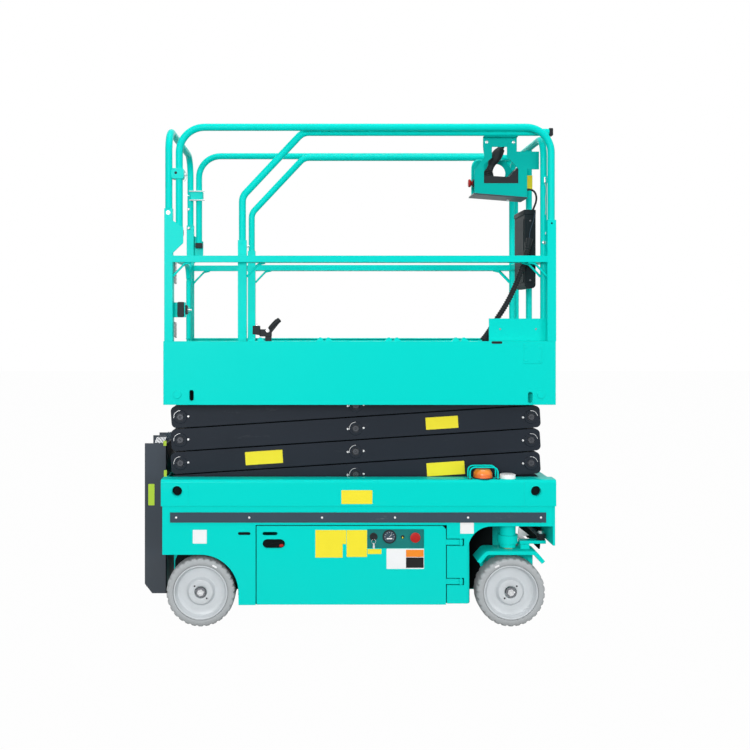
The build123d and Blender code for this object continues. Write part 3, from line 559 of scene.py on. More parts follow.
def coil(start, end, radius, wire, turns, steps=14, sides=6):
    # A helix about the line from start to end: centre moves evenly while the angle turns
    start, end = np.asarray(start, float), np.asarray(end, float)
    side, up = square(end - start)
    t = np.linspace(0, 1, int(turns * steps))[:, None]
    angle = 2 * math.pi * turns * t
    path = start + (end - start) * t + radius * (np.cos(angle) * side + np.sin(angle) * up)
    return tube(path, wire, sides, reference=unit(end - start))


def link(place, along, flat, length, width, wire):
    # A chain link: an oval path through the place, long in one direction and flat in another
    turn = np.linspace(0, 2 * math.pi, 16, endpoint=False)[:, None]
    across = np.cross(unit(along), unit(flat))
    path = np.asarray(place, float) + length * np.cos(turn) * unit(along) + width * np.sin(turn) * across
    return tube(path, wire, 6, closed=True, reference=unit(flat))


built = {}


def makePiece(name, body, finish, parts, replaced=()):
    # Joins the parts, turns millimetres into metres and gives the piece its finish and its body
    points = np.concatenate([part[0] for part in parts]) * 0.001
    starts = np.cumsum([0] + [len(part[0]) for part in parts[:-1]])
    faces = [[corner + int(start) for corner in face] for start, part in zip(starts, parts) for face in part[1]]
    mesh = bpy.data.meshes.new(name)
    mesh.from_pydata(points.tolist(), [], faces)
    mesh.polygons.foreach_set("use_smooth", np.ones(len(faces), bool))
    mesh.set_sharp_from_angle(angle=math.radians(32))
    mesh.materials.append(finishes[finish])
    piece = bpy.data.objects.new(name, mesh)
    bpy.context.scene.collection.objects.link(piece)
    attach(piece, body)
    if replaced:
        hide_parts(*replaced)
    built[name] = piece
    return piece


toRight = (0, -1, 0)

# Wheels: moulded tyres with notched shoulders, dished rims, hub holes and castle nuts
wheelLook = {"section": [(371, 121), (375.5, 122.5), (377.6, 127), (378, 133), (377.4, 140), (375, 146), (371, 149.6),
                         (366, 151.4), (359, 152.3), (352, 152.5), (340, 152.5), (328, 152.5), (316, 152.5), (304, 152.5),
                         (297, 152.3), (290, 151.4), (285, 149.6), (281, 146), (278.6, 140), (278, 133), (278.4, 127),
                         (280.5, 122.5), (285, 121)],
             "cut": [0, 0, 0, 0, 1.0, 3, 4, 4, 4, 3, 0, 0, 0, 0, 3, 4, 4, 4, 3, 1.0, 0, 0, 0],
             "notches": 30, "around": 360,
             "rim": [(284, 120.8), (370, 120.8), (373.5, 120.2), (375, 118.6), (375, 115.4), (373.6, 113.8), (370, 113),
                     (356, 108.5), (350, 104), (347, 96), (346, 84), (346.6, 74), (345.6, 70), (346.2, 64), (350, 60),
                     (358, 56.5), (364, 54.5), (366.5, 51), (366.8, 44), (366.8, 30), (365.5, 27.6), (360, 26.4),
                     (356, 25.6), (354, 21.4), (352, 20.4), (286, 20.4), (284, 22), (284, 50), (286, 55), (318, 58),
                     (334, 62), (338, 72), (338, 92), (334, 102), (326, 108), (290, 112), (284, 113)],
             "holeTurns": {"rear": (2.36, -0.79), "front": (0.79, -2.36)}, "holePlace": 38.0, "labelTurn": {"rear": 1.08, "front": 2.06}}
wheelPlaces = {"rear_right": (-648.0, "chassis"), "rear_left": (-648.0, "chassis"),
               "front_right": (726.0, "knuckle_right"), "front_left": (726.0, "knuckle_left")}


def tyreShape(x, look):
    # Section point (out, r) at angle t lies at radius r - cut * pulse; the pulse is a clipped cosine, half a pitch apart per side
    section = np.array(look["section"], float)
    cut = np.array(look["cut"], float)
    turn = np.linspace(0, 2 * math.pi, look["around"], endpoint=False)
    half = np.where(section[:, 0] > 328, 0.0, math.pi)
    pulse = np.clip((np.cos(look["notches"] * turn[None, :] + half[:, None]) - 0.3) / 0.32, 0, 1)
    radius = section[:, 1, None] - cut[:, None] * pulse
    rings = np.stack([x + radius * np.cos(turn), np.broadcast_to(-section[:, :1], radius.shape),
                      152.5 + radius * np.sin(turn)], -1)
    return joinRings(rings, closed=True)


def castleNut(x):
    # A chamfered hexagon, a crown cut into six teeth, the axle's end and a split pin
    place = np.array((x, -359.0, 152.5))
    parts = [stackOutline(polygon(6, 15.6, 0.3), [(10.8, 0.4), (11.6, 0), (16.4, 0), (17.6, 1.6)], place, (1, 0, 0), (0, 0, 1), toRight)]
    for k in range(6):
        turn = 0.3 + math.pi / 6 + k * math.pi / 3
        middle = place + (10.4 * math.cos(turn), -16.0, 10.4 * math.sin(turn))
        across = (-math.sin(turn), 0, math.cos(turn))
        parts.append(stackOutline(roundedBox(6.6, 4.4, 1.0, 2), rimLevels(4.2, 0.5), middle, across,
                                  (math.cos(turn), 0, math.sin(turn)), toRight))
    parts.append(revolve([(15, 7.6), (18.6, 7.6), (19.6, 6.4)], place, toRight, 24))
    pin = [(x - 15, -377.6, 152.5), (x, -377.6, 152.5), (x + 13, -377.6, 152.5), (x + 16, -376, 156), (x + 15, -373, 160)]
    parts.append(tube(smoothPath(pin, 16), 1.5, 8))
    return parts


for wheelName, (wheelX, holder) in wheelPlaces.items():
    end, side = wheelName.split("_")
    wheelBody = "wheel_" + wheelName
    turnSide = (lambda parts: parts) if side == "right" else (lambda parts: [mirrored(part) for part in parts])
    tyre = [tyreShape(wheelX, wheelLook)]
    rim = [revolve(wheelLook["rim"], (wheelX, 0, 152.5), toRight, 72, closed=True)]
    for turn in wheelLook["holeTurns"][end]:
        reach = wheelLook["holePlace"]
        holePlace = (wheelX + reach * math.cos(turn), -366.6, 152.5 + reach * math.sin(turn))
        rim.append(revolve([(-2, 8.4), (0.6, 8.4), (1.1, 7.6), (0.6, 6.6), (-2, 6.6)], holePlace, toRight, 20, closed=True))
    # Dark domes in the rim's holes: painted shade inside the holes
    holeShade = [dome((wheelX + 38 * math.cos(turn), -366.4, 152.5 + 38 * math.sin(turn)), toRight, 6.8, 0.5)
             for turn in wheelLook["holeTurns"][end]]
    makePiece("moulded_tyre_" + wheelName, wheelBody, "tyre", turnSide(tyre), ("tyre_" + wheelName,))
    makePiece("dished_rim_" + wheelName, wheelBody, "silver", turnSide(rim), ("rim_" + wheelName,))
    makePiece("hub_holes_" + wheelName, wheelBody, "blackBlank", turnSide(holeShade))
    turn = wheelLook["labelTurn"][end]
    across = (-math.sin(turn), 0, math.cos(turn))
    middle = (wheelX + 133 * math.cos(turn), -377.7, 152.5 + 133 * math.sin(turn))
    tag = stackOutline(roundedBox(22, 8, 1.5, 2), [(0, 0), (0.5, 0), (0.8, 0.4)], middle, across,
                       (math.cos(turn), 0, math.sin(turn)), toRight)
    makePiece("tyre_tag_" + wheelName, wheelBody, "white", turnSide([tag]))
    makePiece("castle_nut_" + wheelName, holder, "zinc", turnSide(castleNut(wheelX)))
    washer = revolve([(0, 22.4), (11.0, 22.4), (11.8, 21.4)], (wheelX, -359.0, 152.5), toRight, 40)
    makePiece("nut_washer_" + wheelName, holder, "pinSteel", turnSide([washer]))
print("stage: wheels")

# Knuckles: brass kingpin bushes, bolts, a zinc wing plate and the boots of the steering gear that shows behind the
# front wheels
for side, turnSide in (("right", list), ("left", lambda parts: [mirrored(part) for part in parts])):
    bush = [revolve([(0, 29.5), (3, 29.5), (3.4, 28.8)], (726, -300, 336.3), (0, 0, 1), 36)]
    makePiece("kingpin_bush_" + side, "knuckle_" + side, "brass", turnSide(bush))
    ends = hexBolt((876, -300, 402), (0, 0, 1), 13, 9)
    ends += hexBolt((778, -268, 342), (0, 1, 0), 9, 6)
    makePiece("knuckle_bolts_" + side, "knuckle_" + side, "zinc", turnSide(ends))
    wing = [sidePlate([(785, 366), (838, 376), (789, 414)], (238, 240.5), 0.4), block((784, 812), (-284, -238.5), (365.5, 369.5), 0.5, 2)]
    makePiece("knuckle_wing_" + side, "knuckle_" + side, "zinc", turnSide(wing))
boots = [revolve([(-16, 15), (-12, 20), (-8, 17), (-3, 21.5), (2, 18), (7, 22), (12, 19), (13, 12)], (876, y, 384), (0, 0, 1), 28)
         for y in (-300, 300)]
makePiece("tie_rod_boots", "tie_rod", "black", boots)
print("stage: knuckles")

# Scissor pins: a chamfered ring on each boss, the pin's end with its snap ring, a keeper bolt beside it, and a bright
# zinc arc on the boss that is a painted glint
armLook = {"span": 1592.0, "left": -751.0, "low": 607.0, "rise": 104.4, "keeper": 36.0}
armSlope = math.asin(armLook["rise"] / armLook["span"])
armLabels = {1: (451, 79.0, 172, 60), 2: (-372, 24.9, 170, 60), 3: (434, 77.9, 147, 55)}


def pinSet(x, z, way):
    ring = revolve([(0, 30.6), (2.2, 30.6), (3.4, 29.0), (3.4, 18.2), (2.0, 16.4), (0, 16.4)], (x, -277.0, z), toRight, 40, closed=True)
    tip = revolve([(0, 14.9), (2.6, 14.9), (4.0, 13.4), (4.0, 5.0), (3.2, 4.2)], (x, -279.0, z), toRight, 32)
    nipple = dome((x, -282.2, z), toRight, 3.4, 1.6, 12)
    turn = np.linspace(0.5, 2 * math.pi - 0.5, 30)[:, None]
    snapPath = np.array((x, -281.0, z)) + 16.6 * (np.cos(turn) * np.array((1.0, 0, 0)) + np.sin(turn) * np.array((0, 0, 1.0)))
    snap = tube(snapPath, 1.1, 6, reference=(0, 1, 0))
    keeper = hexBolt((x + way * armLook["keeper"] * math.cos(armSlope), -276.0, z + way * armLook["keeper"] * math.sin(armSlope)),
                     toRight, 4.2, 3.6, 1.2)
    # A thin zinc arc along the boss's rim: a painted highlight, the glint of light on the boss
    glint = np.linspace(*((1.55, 3.3) if way > 0 else (0.2, 1.75)), 22)[:, None]
    arc = np.array((x, -280.6, z)) + 29.0 * (np.cos(glint) * np.array((1.0, 0, 0)) + np.sin(glint) * np.array((0, 0, 1.0)))
    paintedGlintArc = tube(arc, 1.5, 6, reference=(0, 1, 0))
    strap = block((x + way * 17 - 9, x + way * 17 + 9), (-281.6, -279.8), (z - 3.2, z + 3.2), 0.4, 2)
    return [ring, strap], [tip, nipple, snap], keeper + [paintedGlintArc]


for level in range(1, 5):
    low = armLook["low"] + (level - 1) * armLook["rise"]
    reach = armLook["span"] * math.cos(armSlope)
    rings, steelBits, keeperBoltsAndGlints = [], [], []
    for share, way in ((0.0, 1), (0.5, 1), (0.5, -1), (1.0, -1)):
        if level == 4 and share == 1.0:
            continue
        ring, bits, keeper = pinSet(armLook["left"] + share * reach, low + share * armLook["rise"], way)
        keeperBoltsAndGlints += keeper if (share, way) != (0.5, -1) else keeper[:-1]
        if (share, way) != (0.5, -1):
            rings += ring
            steelBits += bits
    makePiece(f"boss_rings_{level}", f"outer_arm_{level}", "charcoal", bothSides(rings))
    makePiece(f"pin_ends_{level}", f"outer_arm_{level}", "darkPin", bothSides(steelBits))
    makePiece(f"keeper_bolts_and_glints_{level}", f"outer_arm_{level}", "zinc", bothSides(keeperBoltsAndGlints))
    if level in armLabels:
        x, lift, width, height = armLabels[level]
        sheet = label((x - width / 2, x + width / 2), (low + lift - height / 2, low + lift + height / 2), 276.0,
                      math.degrees(armSlope))
        makePiece(f"arm_label_{level}", f"outer_arm_{level}", "yellow", [sheet])
print("stage: scissor pins")

# Blank labels in the machine's sign colours, thin sheets on the faces that carry them
labelPlaces = {
    ("door_right", "yellow", 374.0): [((-1.5, 89), (311, 430)), ((91, 153), (324, 346))],
    ("door_right", "white", 374.0): [((175, 341), (258, 348))],
    ("chassis", "white", 374.0): [((-682, -620), (370, 431)), ((501, 561), (414, 463))],
    ("chassis", "yellow", 378.0): [((-25, 112), (546, 607))],
    ("chassis", "lime", 206.0): [((-909, -880), (505, 604)), ((-839, -825), (779, 803)), ((-837, -823), (637, 668))],
}
for (body, finish, out), spots in labelPlaces.items():
    makePiece("labels_" + finish + "_" + body, body, finish, [label(x, z, out) for x, z in spots])
corner = [(-140, 308), (-19, 308), (-19, 368), (-3, 368), (-3, 430), (-140, 430)]
makePiece("label_corner", "door_right", "yellow", [sidePlate(corner, (374.0, 374.4), 0.1)])
makePiece("plate_orange", "door_right", "orange", [label((261, 339), (311, 343), 374.4, thick=0.3, radius=1.5)])
makePiece("plate_black", "door_right", "blackBlank", [label((261, 339), (263, 309), 374.4, thick=0.3, radius=1.5)])
print("stage: labels")

# Chassis bits: rivets along the rub strips, a capped socket on the right beam and the beacon's base
chassisLook = {"rivets": (-755, -432, -110, 212, 535, 857), "rivetZ": 486.0, "stripOut": 378.5, "cap": (719.5, 331.0)}
rivets = [dome((x, -chassisLook["stripOut"], chassisLook["rivetZ"]), toRight, 5.0, 1.4, 14) for x in chassisLook["rivets"]]
makePiece("strip_rivets", "chassis", "white", bothSides(rivets))
lips = [block((-782, 880), (-chassisLook["stripOut"] - 0.2, -374.2), z, 0.6, 1.5) for z in ((463.6, 466.6), (505, 508))]
makePiece("strip_lips", "chassis", "slate", bothSides(lips))
capX, capOut = chassisLook["cap"]
cap = revolve([(0, 35), (14, 35), (17, 33.5), (18.6, 30), (19, 12)], (capX, -capOut, 653.0), (0, 0, 1), 40)
makePiece("beam_cap", "chassis", "white", [cap])
collar = revolve([(0, 46), (3, 46), (4, 44.8), (4, 42.4)], (609, -331, 653.0), (0, 0, 1), 44)
lens = revolve([(0, 41.8), (4, 41.8), (5, 42.8), (6, 41.8), (9, 41.8), (10, 42.8), (11, 41.8), (14, 41.8), (15, 42.8), (16, 41.8),
                (19, 41.8), (20, 42.8), (21, 41.8), (25, 41), (37, 33.5), (40, 30.5), (41, 26)], (609, -331, 653.0), (0, 0, 1), 48)
makePiece("beacon_collar", "chassis", "black", [collar])
makePiece("beacon_lens", "chassis", "amber", [lens], ("beacon",))
wires = [tube(roundedRoute([(547, y, 653), (547, y, 705), (671, y, 705), (671, y, 653)], 27), 3.5, 12) for y in (-305, -357)]
makePiece("guard_wires", "chassis", "turquoise", wires, ("beacon_guard",))
feet = [part for x in (547, 671) for y in (-305, -357)
        for part in (revolve([(0, 11), (1.6, 11), (2.2, 10.2)], (x, y, 653.0), (0, 0, 1), 18),)]
makePiece("guard_feet", "chassis", "steel", feet)
socketRings = [revolve([(0, 26.5), (0.9, 26.5), (1.2, 25.8), (1.2, 22.3), (0, 22.3)], (x, -378.0, 603), toRight, 36, closed=True) for x in (-751, 835)]
makePiece("socket_rings", "chassis", "turquoise", bothSides(socketRings))
# Dark discs at the bottom of the socket bores and a dark sheet over the skirt slot: painted shade in the holes
socketShadeDiscs = [revolve([(0, 21.8), (1.2, 21.8)], (x, -358.2, 603), toRight, 36) for x in (-751, 835)]
holeShade = [label((-482, -427), (408.5, 420.5), 374.0, thick=0.3, radius=5.9)]
makePiece("hole_painted_shade", "chassis", "shade", bothSides(socketShadeDiscs + holeShade))
# Dark sheets of painted shade: strips in the door gaps, and liners behind the wheels and round the wheel arches
doorGapShade = [block((-409, -397), (-364, -361), (99, 452), 0.5, 1), block((434.5, 447), (-364, -361), (104, 452), 0.5, 1),
        block((-406, 444), (-364, -361), (444, 455), 0.5, 1)]
paintedShadeWells = [block((-775, -484), (-275, -272.8), (104, 330), 0.5, 60), block((541.8, 543.6), (-366, -142), (107, 445), 0.5, 1, axis=0),
         block((543, 690), (-142.4, -140.4), (104, 449), 0.5, 1), block((892.5, 896), (-210, 0.4), (300, 449), 0.6, 20, axis=0),
         block((-479, -477.2 + 4), (-366, -142), (102, 530), 0.5, 1, axis=0)]
arch = np.linspace(math.radians(-4), math.pi / 2, 28)
rim = np.concatenate([np.stack([-648 + 166.5 * np.cos(arch), 152.5 + 166.5 * np.sin(arch)], 1), [(-812, 319)], [(-812, 321.5)],
                      np.stack([-648 + 169 * np.cos(arch[::-1]), 152.5 + 169 * np.sin(arch[::-1])], 1)])
paintedShadeWells.append(stackOutline(rim, [(0, 0), (86, 0)], (0, -280.5, 0), (1, 0, 0), (0, 0, 1), toRight))
makePiece("wheel_wells", "chassis", "shade", bothSides(paintedShadeWells))
makePiece("door_gap_painted_shade", "chassis", "shade", bothSides(doorGapShade))
print("stage: chassis bits")


def ringPlate(outer, inner, outline, origin, depth):
    # A flat ring: the outer outline, stepped in to the inner, goes round as one closed section
    rings = []
    for scale, height in ((outer, 0), (outer, depth), (inner, depth), (inner, 0)):
        flat = np.asarray(outline, float) * np.asarray(scale, float)
        rings.append(np.stack([origin[0] + flat[:, 0], np.full(len(flat), -origin[1] - height), origin[2] + flat[:, 1]], 1))
    return joinRings(np.stack(rings), closed=True)


def slotOutline(length, height, steps=10):
    # Half circles joined by straight sides
    turn = np.linspace(-math.pi / 2, math.pi / 2, steps)
    right = np.stack([(length - height) / 2 + height / 2 * np.cos(turn), height / 2 * np.sin(turn)], 1)
    return np.concatenate([right, -right])


# Ladder: toothed step edges and grip lugs on each tread
ladderLook = {"treads": (150, 310, 470, 630, 791)}
sides = [sidePlate([(-823, 100), (-823, 791), (-925, 791), (-925, 144), (-891, 100)], (200, 206), 0.8)]
treadParts = [block((-829, -823), (-206, 206), (100, 791), 0.6, 1, axis=0)]
gripParts = []
for z in ladderLook["treads"]:
    start = -884 if z > 700 else -919
    treadParts += [block((start, -826), (-201, 201), (z - 4, z), 0.6, 1, axis=1), block((start, start + 4), (-201, 201), (z - 20, z), 0.6, 1, axis=1)]
    for x in np.arange(start + 8, -832, 15):
        for y in np.arange(-180, 181, 24):
            gripParts.append(revolve([(-1, 5.2), (1.8, 4.2), (2.6, 2.4)], (x, y, z), (0, 0, 1), 8))
topFrame = [block((-886, -826), (-206, -200), (822, 828), 0.6, 1), block((-886, -880.5), (-206, -200), (790, 826), 0.6, 1),
            block((-882, -826), (-204, -200), (791, 824), 0.4, 1)]
grating = [sidePlate([(x, 793), (x + 3.6, 793), (x + 14, 820), (x + 10.4, 820)], (204, 205.6), 0.3) for x in np.arange(-879, -838, 6.6)]
makePiece("step_grating", "chassis", "zinc", grating)
treadParts += topFrame
makePiece("step_ladder", "chassis", "steel", bothSides(sides) + treadParts, ("entry_ladder",))
makePiece("tread_grips", "chassis", "slate", gripParts)


def toothRow(x, z, y, teeth, height, thick):
    # A comb of pointed teeth above a straight edge, in the plane of the side plate
    start, end = x
    place = np.linspace(start, end, 2 * teeth + 1)
    top = np.where(np.arange(2 * teeth + 1) % 2, z + height, z + height * 0.25)
    outline = np.concatenate([[(start, z - 6), (end, z - 6)], np.stack([place, top], 1)[::-1]])
    return stackOutline(outline, rimLevels(thick, 0.4), (0, y, 0), (1, 0, 0), (0, 0, 1), toRight)


combs = [toothRow((-882, -828), 790, y, 6, 7, 4) for y in np.arange(-190, 200, 38)]
makePiece("step_combs", "chassis", "slate", combs)
print("stage: ladder")

# Right door: latch in the hand hole, door seals, and the ground controls in their recess
doorLook = {"hole": (-323.5, 370.0), "recess": (89.0, 341.0, 349.0, 434.6), "faceOut": 369.0}
for body, turnSide in (("door_right", list), ("door_left", lambda parts: [mirrored(part) for part in parts])):
    hole = doorLook["hole"]
    rim = [ringPlate((1, 1), (0.93, 0.86), slotOutline(106, 46, 12), (hole[0], 373.8, hole[1]), 1.4)]
    # The hand hole's bowl and the handle inside it are dark: painted shade in the recess
    paintedShadeBowl = [block((-376, -271), (-366, -352), (348, 392), 1.0, 18)]
    latch = [block((-300, -280), (-370, -364), (354, 366), 1.2, 5)]
    handle = [tube(smoothPath([(-366, -367, 352), (-340, -371, 366), (-318, -371.5, 372), (-296, -370, 372)], 14), 4.2, 10)]
    makePiece("latch_rim_" + body, body, "turquoise", turnSide(rim))
    makePiece("latch_bowl_" + body, body, "shade", turnSide(paintedShadeBowl + handle))
    makePiece("latch_catch_" + body, body, "red", turnSide(latch))
    makePiece("door_seal_" + body, body, "black",
              turnSide([block((-398, 434), (-366, -363), (100.5, 104.5), 0.5, 1), block((-398, 430), (-366, -363), (441, 445), 0.5, 1)]))
recess = doorLook["recess"]
x0, x1, z0, z1 = recess
plate = [block((x0 - 3, x1 + 3), (-369.6, -367.5), (z0 - 3, z1 + 3), 0.4, 2)]
makePiece("control_plate", "door_right", "teal", plate, ("ground_controls",))
frameBars = [ringPlate((1, 1), (0.985, 0.955), roundedBox(x1 - x0 + 2, z1 - z0 + 2, 3, 3), ((x0 + x1) / 2, 373.6, (z0 + z1) / 2), 0.7)]
makePiece("control_rim", "door_right", "turquoise", frameBars)
keySwitch = [revolve([(0, 17.5), (2.4, 17.5), (3.6, 16), (4.0, 12), (3.2, 10.5)], (118, -369.4, 400), toRight, 32),
             revolve([(3, 6.4), (6.0, 6.2), (6.8, 5.2)], (118, -369.4, 400), toRight, 20),
             block((115.5, 120.5), (-381 + 3, -372), (384, 396), 0.6, 1.5)]
gaugeRim = [revolve([(0, 30.5), (3.2, 30.5), (5.0, 28.8), (5.4, 26.4), (4.2, 25.2)], (188, -369.4, 400), toRight, 48)]
toggle = [revolve([(0, 8.5), (1.4, 8.5), (2.0, 7.4)], (247, -369.4, 399), toRight, 6),
          revolve([(1.5, 4.8), (3.0, 4.8), (3.6, 3.8)], (247, -369.4, 399), toRight, 18)]
makePiece("switch_parts", "door_right", "black", keySwitch + gaugeRim + toggle)
gaugeTicks = [block((187.3, 188.7), (-375.0, -374.4), (417, 422), 0.1, 0.3)]
face = [revolve([(3.6, 25.4), (4.6, 25.2), (4.7, 24.0)], (188, -369.4, 400), toRight, 40)]
makePiece("gauge_face", "door_right", "slate", face)
ticks = []
for turn in np.linspace(-2.1, 2.1, 9):
    c, s = math.cos(turn), math.sin(turn)
    ticks.append(stackOutline(roundedBox(1.4, 4.2, 0.5, 1), [(0, 0), (0.4, 0)], (188 + 20 * s, -374.0, 400 + 20 * c),
                              (c, 0, -s), (s, 0, c), toRight))
ticks.append(stackOutline(roundedBox(1.6, 17, 0.6, 1), [(0, 0), (0.6, 0)], (192, -374.0, 404), (0.7, 0, -0.7), (0.7, 0, 0.7), toRight))
ticks.append(stackOutline(roundedBox(24, 6, 1.0, 1), [(0, 0), (0.4, 0)], (188, -374.0, 392), (1, 0, 0), (0, 0, 1), toRight))
makePiece("gauge_marks", "door_right", "white", ticks)
lever = [tube([(247, -372, 399), (246, -375, 396.5), (245.2, -376.6, 394)], [2.2, 2.4, 3.2], 10)]
makePiece("toggle_tip", "door_right", "yellow", lever)
mushroom = [revolve([(0, 12), (4.5, 12), (5.0, 20), (6.6, 22.4), (8.6, 22.2), (9.8, 18), (10.4, 8)], (302, -369.4, 397), toRight, 40)]
makePiece("stop_button", "door_right", "red", mushroom)
turn = np.linspace(0, 2 * math.pi, 26, endpoint=False)[:, None]
ringPath = np.array((118, -376.5, 380)) + 9.5 * (np.cos(turn) * np.array((1.0, 0, 0)) + np.sin(turn) * np.array((0, 0.12, 1.0)))
keys = [tube(ringPath, 0.9, 6, closed=True, reference=(0, 1, 0)),
        stackOutline(roundedBox(7, 26, 2, 2), rimLevels(1.6, 0.4), (118.6, -375.2, 360), (1, 0, 0.04), (-0.04, 0, 1), toRight),
        block((114, 123), (-377, -375.2), (350, 360), 0.4, 2)]
makePiece("switch_keys", "door_right", "zinc", keys)
print("stage: door")

# Platform bits: bolts, gusset marks, the bolted plate, the side slot's edge and the tread lugs
platformLook = {"postBolts": ((-790.5, 1834),), "plate": ((781, 862), (1166, 1253))}
zincBits = []
for x, z in platformLook["postBolts"]:
    zincBits += hexBolt((x, -377.0, z), toRight, 8.5, 2.8, 1.15)
makePiece("platform_bolts", "platform", "zinc", bothSides(zincBits))
plateX, plateZ = platformLook["plate"]
# A dark dot of painted shade in the post's hole
postHoleShade = [dome((905, -377.0, 1787), toRight, 4.0, 0.8, 14)]
bossRims = [revolve([(0, 14), (2.2, 13.6), (2.8, 12.6), (2.8, 11.4), (2.1, 10.4), (0, 10.2)], (x, -377.0, 1030), toRight, 32, closed=True)
            for x in (-751, 858)]
for x, z in ((-687, 1026), (810, 1017)):
    rings = []
    for outline, height in ((roundedBox(24, 54, 10.5), 0), (roundedBox(24, 54, 10.5), 0.7), (roundedBox(19, 48, 9.4), 0.7), (roundedBox(19, 48, 9.4), -3)):
        rings.append(np.stack([x + outline[:, 0], np.full(len(outline), -377.0 - height), z + outline[:, 1]], 1))
    bossRims.append(joinRings(np.stack(rings), closed=True))
makePiece("boss_rims", "platform", "turquoise", bothSides(bossRims))
makePiece("post_hole_painted_shade", "platform", "shade", bothSides(postHoleShade))
dimples = [dome((x, -377.0, z), toRight, 6.0, 1.3, 14) for x in (plateX[0] + 12, plateX[1] - 12) for z in (plateZ[0] + 14, plateZ[1] - 14)]
plateBits = [block(plateX, (-377.9, -376.6), plateZ, 0.5, 5)] + dimples
makePiece("bolted_plate", "platform", "turquoise", plateBits)
# A dark sheet of painted shade in the pull slot
pullSlotShade = [block((639, 686), (-377.6, -376.8), (1254, 1265), 0.3, 4)]
makePiece("pull_slot_painted_shade", "platform", "blackBlank", pullSlotShade)


def lugField(xs, ys, z, size):
    # Copies of one long lozenge, turned by turns plus and minus forty-five degrees, stood on a grid as whole arrays
    turn = np.linspace(0, 2 * math.pi, 6, endpoint=False)
    low = np.stack([size * np.cos(turn), size * 0.34 * np.sin(turn), np.zeros(6)], 1)
    high = low * (0.72, 0.6, 0) + (0, 0, 1.4)
    shape = np.concatenate([low, high])
    gridX, gridY = np.meshgrid(xs, ys, indexing="ij")
    odd = (np.add.outer(np.arange(len(xs)), np.arange(len(ys))) % 2).ravel()
    tilt = np.where(odd == 1, math.pi / 4, -math.pi / 4)
    c, s = np.cos(tilt)[:, None], np.sin(tilt)[:, None]
    points = np.stack([gridX.ravel()[:, None] + c * shape[:, 0] - s * shape[:, 1],
                       gridY.ravel()[:, None] + s * shape[:, 0] + c * shape[:, 1],
                       np.broadcast_to(z + shape[:, 2], (len(tilt), 12))], -1).reshape(-1, 3)
    ring = [[k, (k + 1) % 6, 6 + (k + 1) % 6, 6 + k] for k in range(6)] + [list(range(6, 12)), list(range(6))[::-1]]
    base = np.arange(len(tilt)) * 12
    faces = [[corner + int(start) for corner in face] for start in base for face in ring]
    return points, faces


makePiece("deck_lugs", "extension", "steel", [lugField(np.arange(-412, 850, 30), np.arange(-262, 263, 26.2), 1125.8, 12)])
makePiece("floor_lugs", "platform", "steel", [lugField(np.arange(-790, -500, 30), np.arange(-330, 331, 27.5), 1109.8, 12)])
print("stage: platform")

# Rear gate gear: leg clamps with their pins and lanyards, the plugged leg ends, return springs and the latch
rearLook = {"clampZ": (1984, 2031), "latch": (1371, 1438)}
clamps = [block((-778, -722), (-380 + 2, -336), rearLook["clampZ"], 1.2, 8)]
clampBolts = hexBolt((-757, -378.0, 2010), toRight, 4.5, 1.6)
makePiece("leg_clamps", "platform", "turquoise", bothSides(clamps))
makePiece("leg_clamp_bolts", "platform", "blackBlank", bothSides([clampBolts[0]]))
silver = [tube(smoothPath([(-726, -345, 2026), (-714, -343, 2012), (-711, -343, 1996), (-718, -343, 1984), (-724, -345, 1976)], 18), 1.5, 6),
          tube([(-724, -350, 2002), (-716, -350, 2002), (-712, -350, 2003)], 3.6, 8)]
makePiece("clamp_pins", "platform", "zinc", silver)
farClamp = [block((-786, -724), (332, 380 - 4), (1984, 2026), 1.5, 6)]
makePiece("far_clamp", "platform", "turquoise", farClamp)
farPins = [tube([(-792, 330, z), (-716, 330, z), (-712, 332, z)], 3.4, 8) for z in (2028, 1982)]
farPins.append(tube(smoothPath([(-838 + 8, 330, 2008), (-812, 330, 2012), (-792, 331, 2004)], 12), 1.3, 6))
farPins += [dome((x, 348, z), toRight, 8, 5) for x, z in ((-797, 1936), (-797, 1838))]
makePiece("far_clamp_pins", "platform", "zinc", farPins)
plugs = [block((-762, -726), (-376, -340), (1734, 1761), 1.0, 4)]
makePiece("leg_plugs", "platform", "black", bothSides(plugs))
latchBits = [block((-775, -740), (-336, -303), rearLook["latch"], 1.5, 5)]
makePiece("gate_latch_box", "platform", "black", [block((-756, -726), (-338, -300), (1372, 1440), 1.5, 5),
                                                  block((-722, -712), (-334, -304), (1384, 1426), 1.2, 3)])
knob = [tube([(-712, -320, 1405), (-700, -320, 1405), (-694, -320, 1403)], [3.4, 3.0, 4.6], 12)]
makePiece("gate_latch_knob", "platform", "zinc", knob)
springs = [coil((-765, -336, 1520), (-765, -336, 1628), 6.0, 1.3, 18), coil((-765, -336, 1280), (-765, -336, 1350), 6.0, 1.3, 12)]
makePiece("gate_springs", "platform", "pinSteel", springs)
print("stage: rear gate")

# Latch lever of the sliding deck: pivot, set screw and its rounded black grip
grip = smoothPath([(-346, -361, 1316), (-334, -361, 1330), (-318, -361, 1346), (-303, -361, 1357), (-297, -361, 1362)], 22)
gripSize = np.interp(np.linspace(0, 1, 22), (0, 0.15, 0.6, 0.92, 1), (7.5, 9.5, 11.5, 11, 6.5))
makePiece("lever_grip", "platform", "black", [tube(grip, gripSize, 18),
                                             block((-418, -384), (-371, -351), (1295, 1334), 2, 4),
                                             block((-384, -333), (-371, -351), (1286, 1318), 2, 4)])
pivot = [revolve([(0, 8.5), (3.4, 8.5), (4.4, 7.2), (4.8, 3)], (-351, -371.0, 1312), toRight, 24)] + \
    hexBolt((-400, -361, 1334), (0, 0, 1), 6.5, 9)
makePiece("lever_pivot", "platform", "chrome", pivot)
print("stage: latch lever")

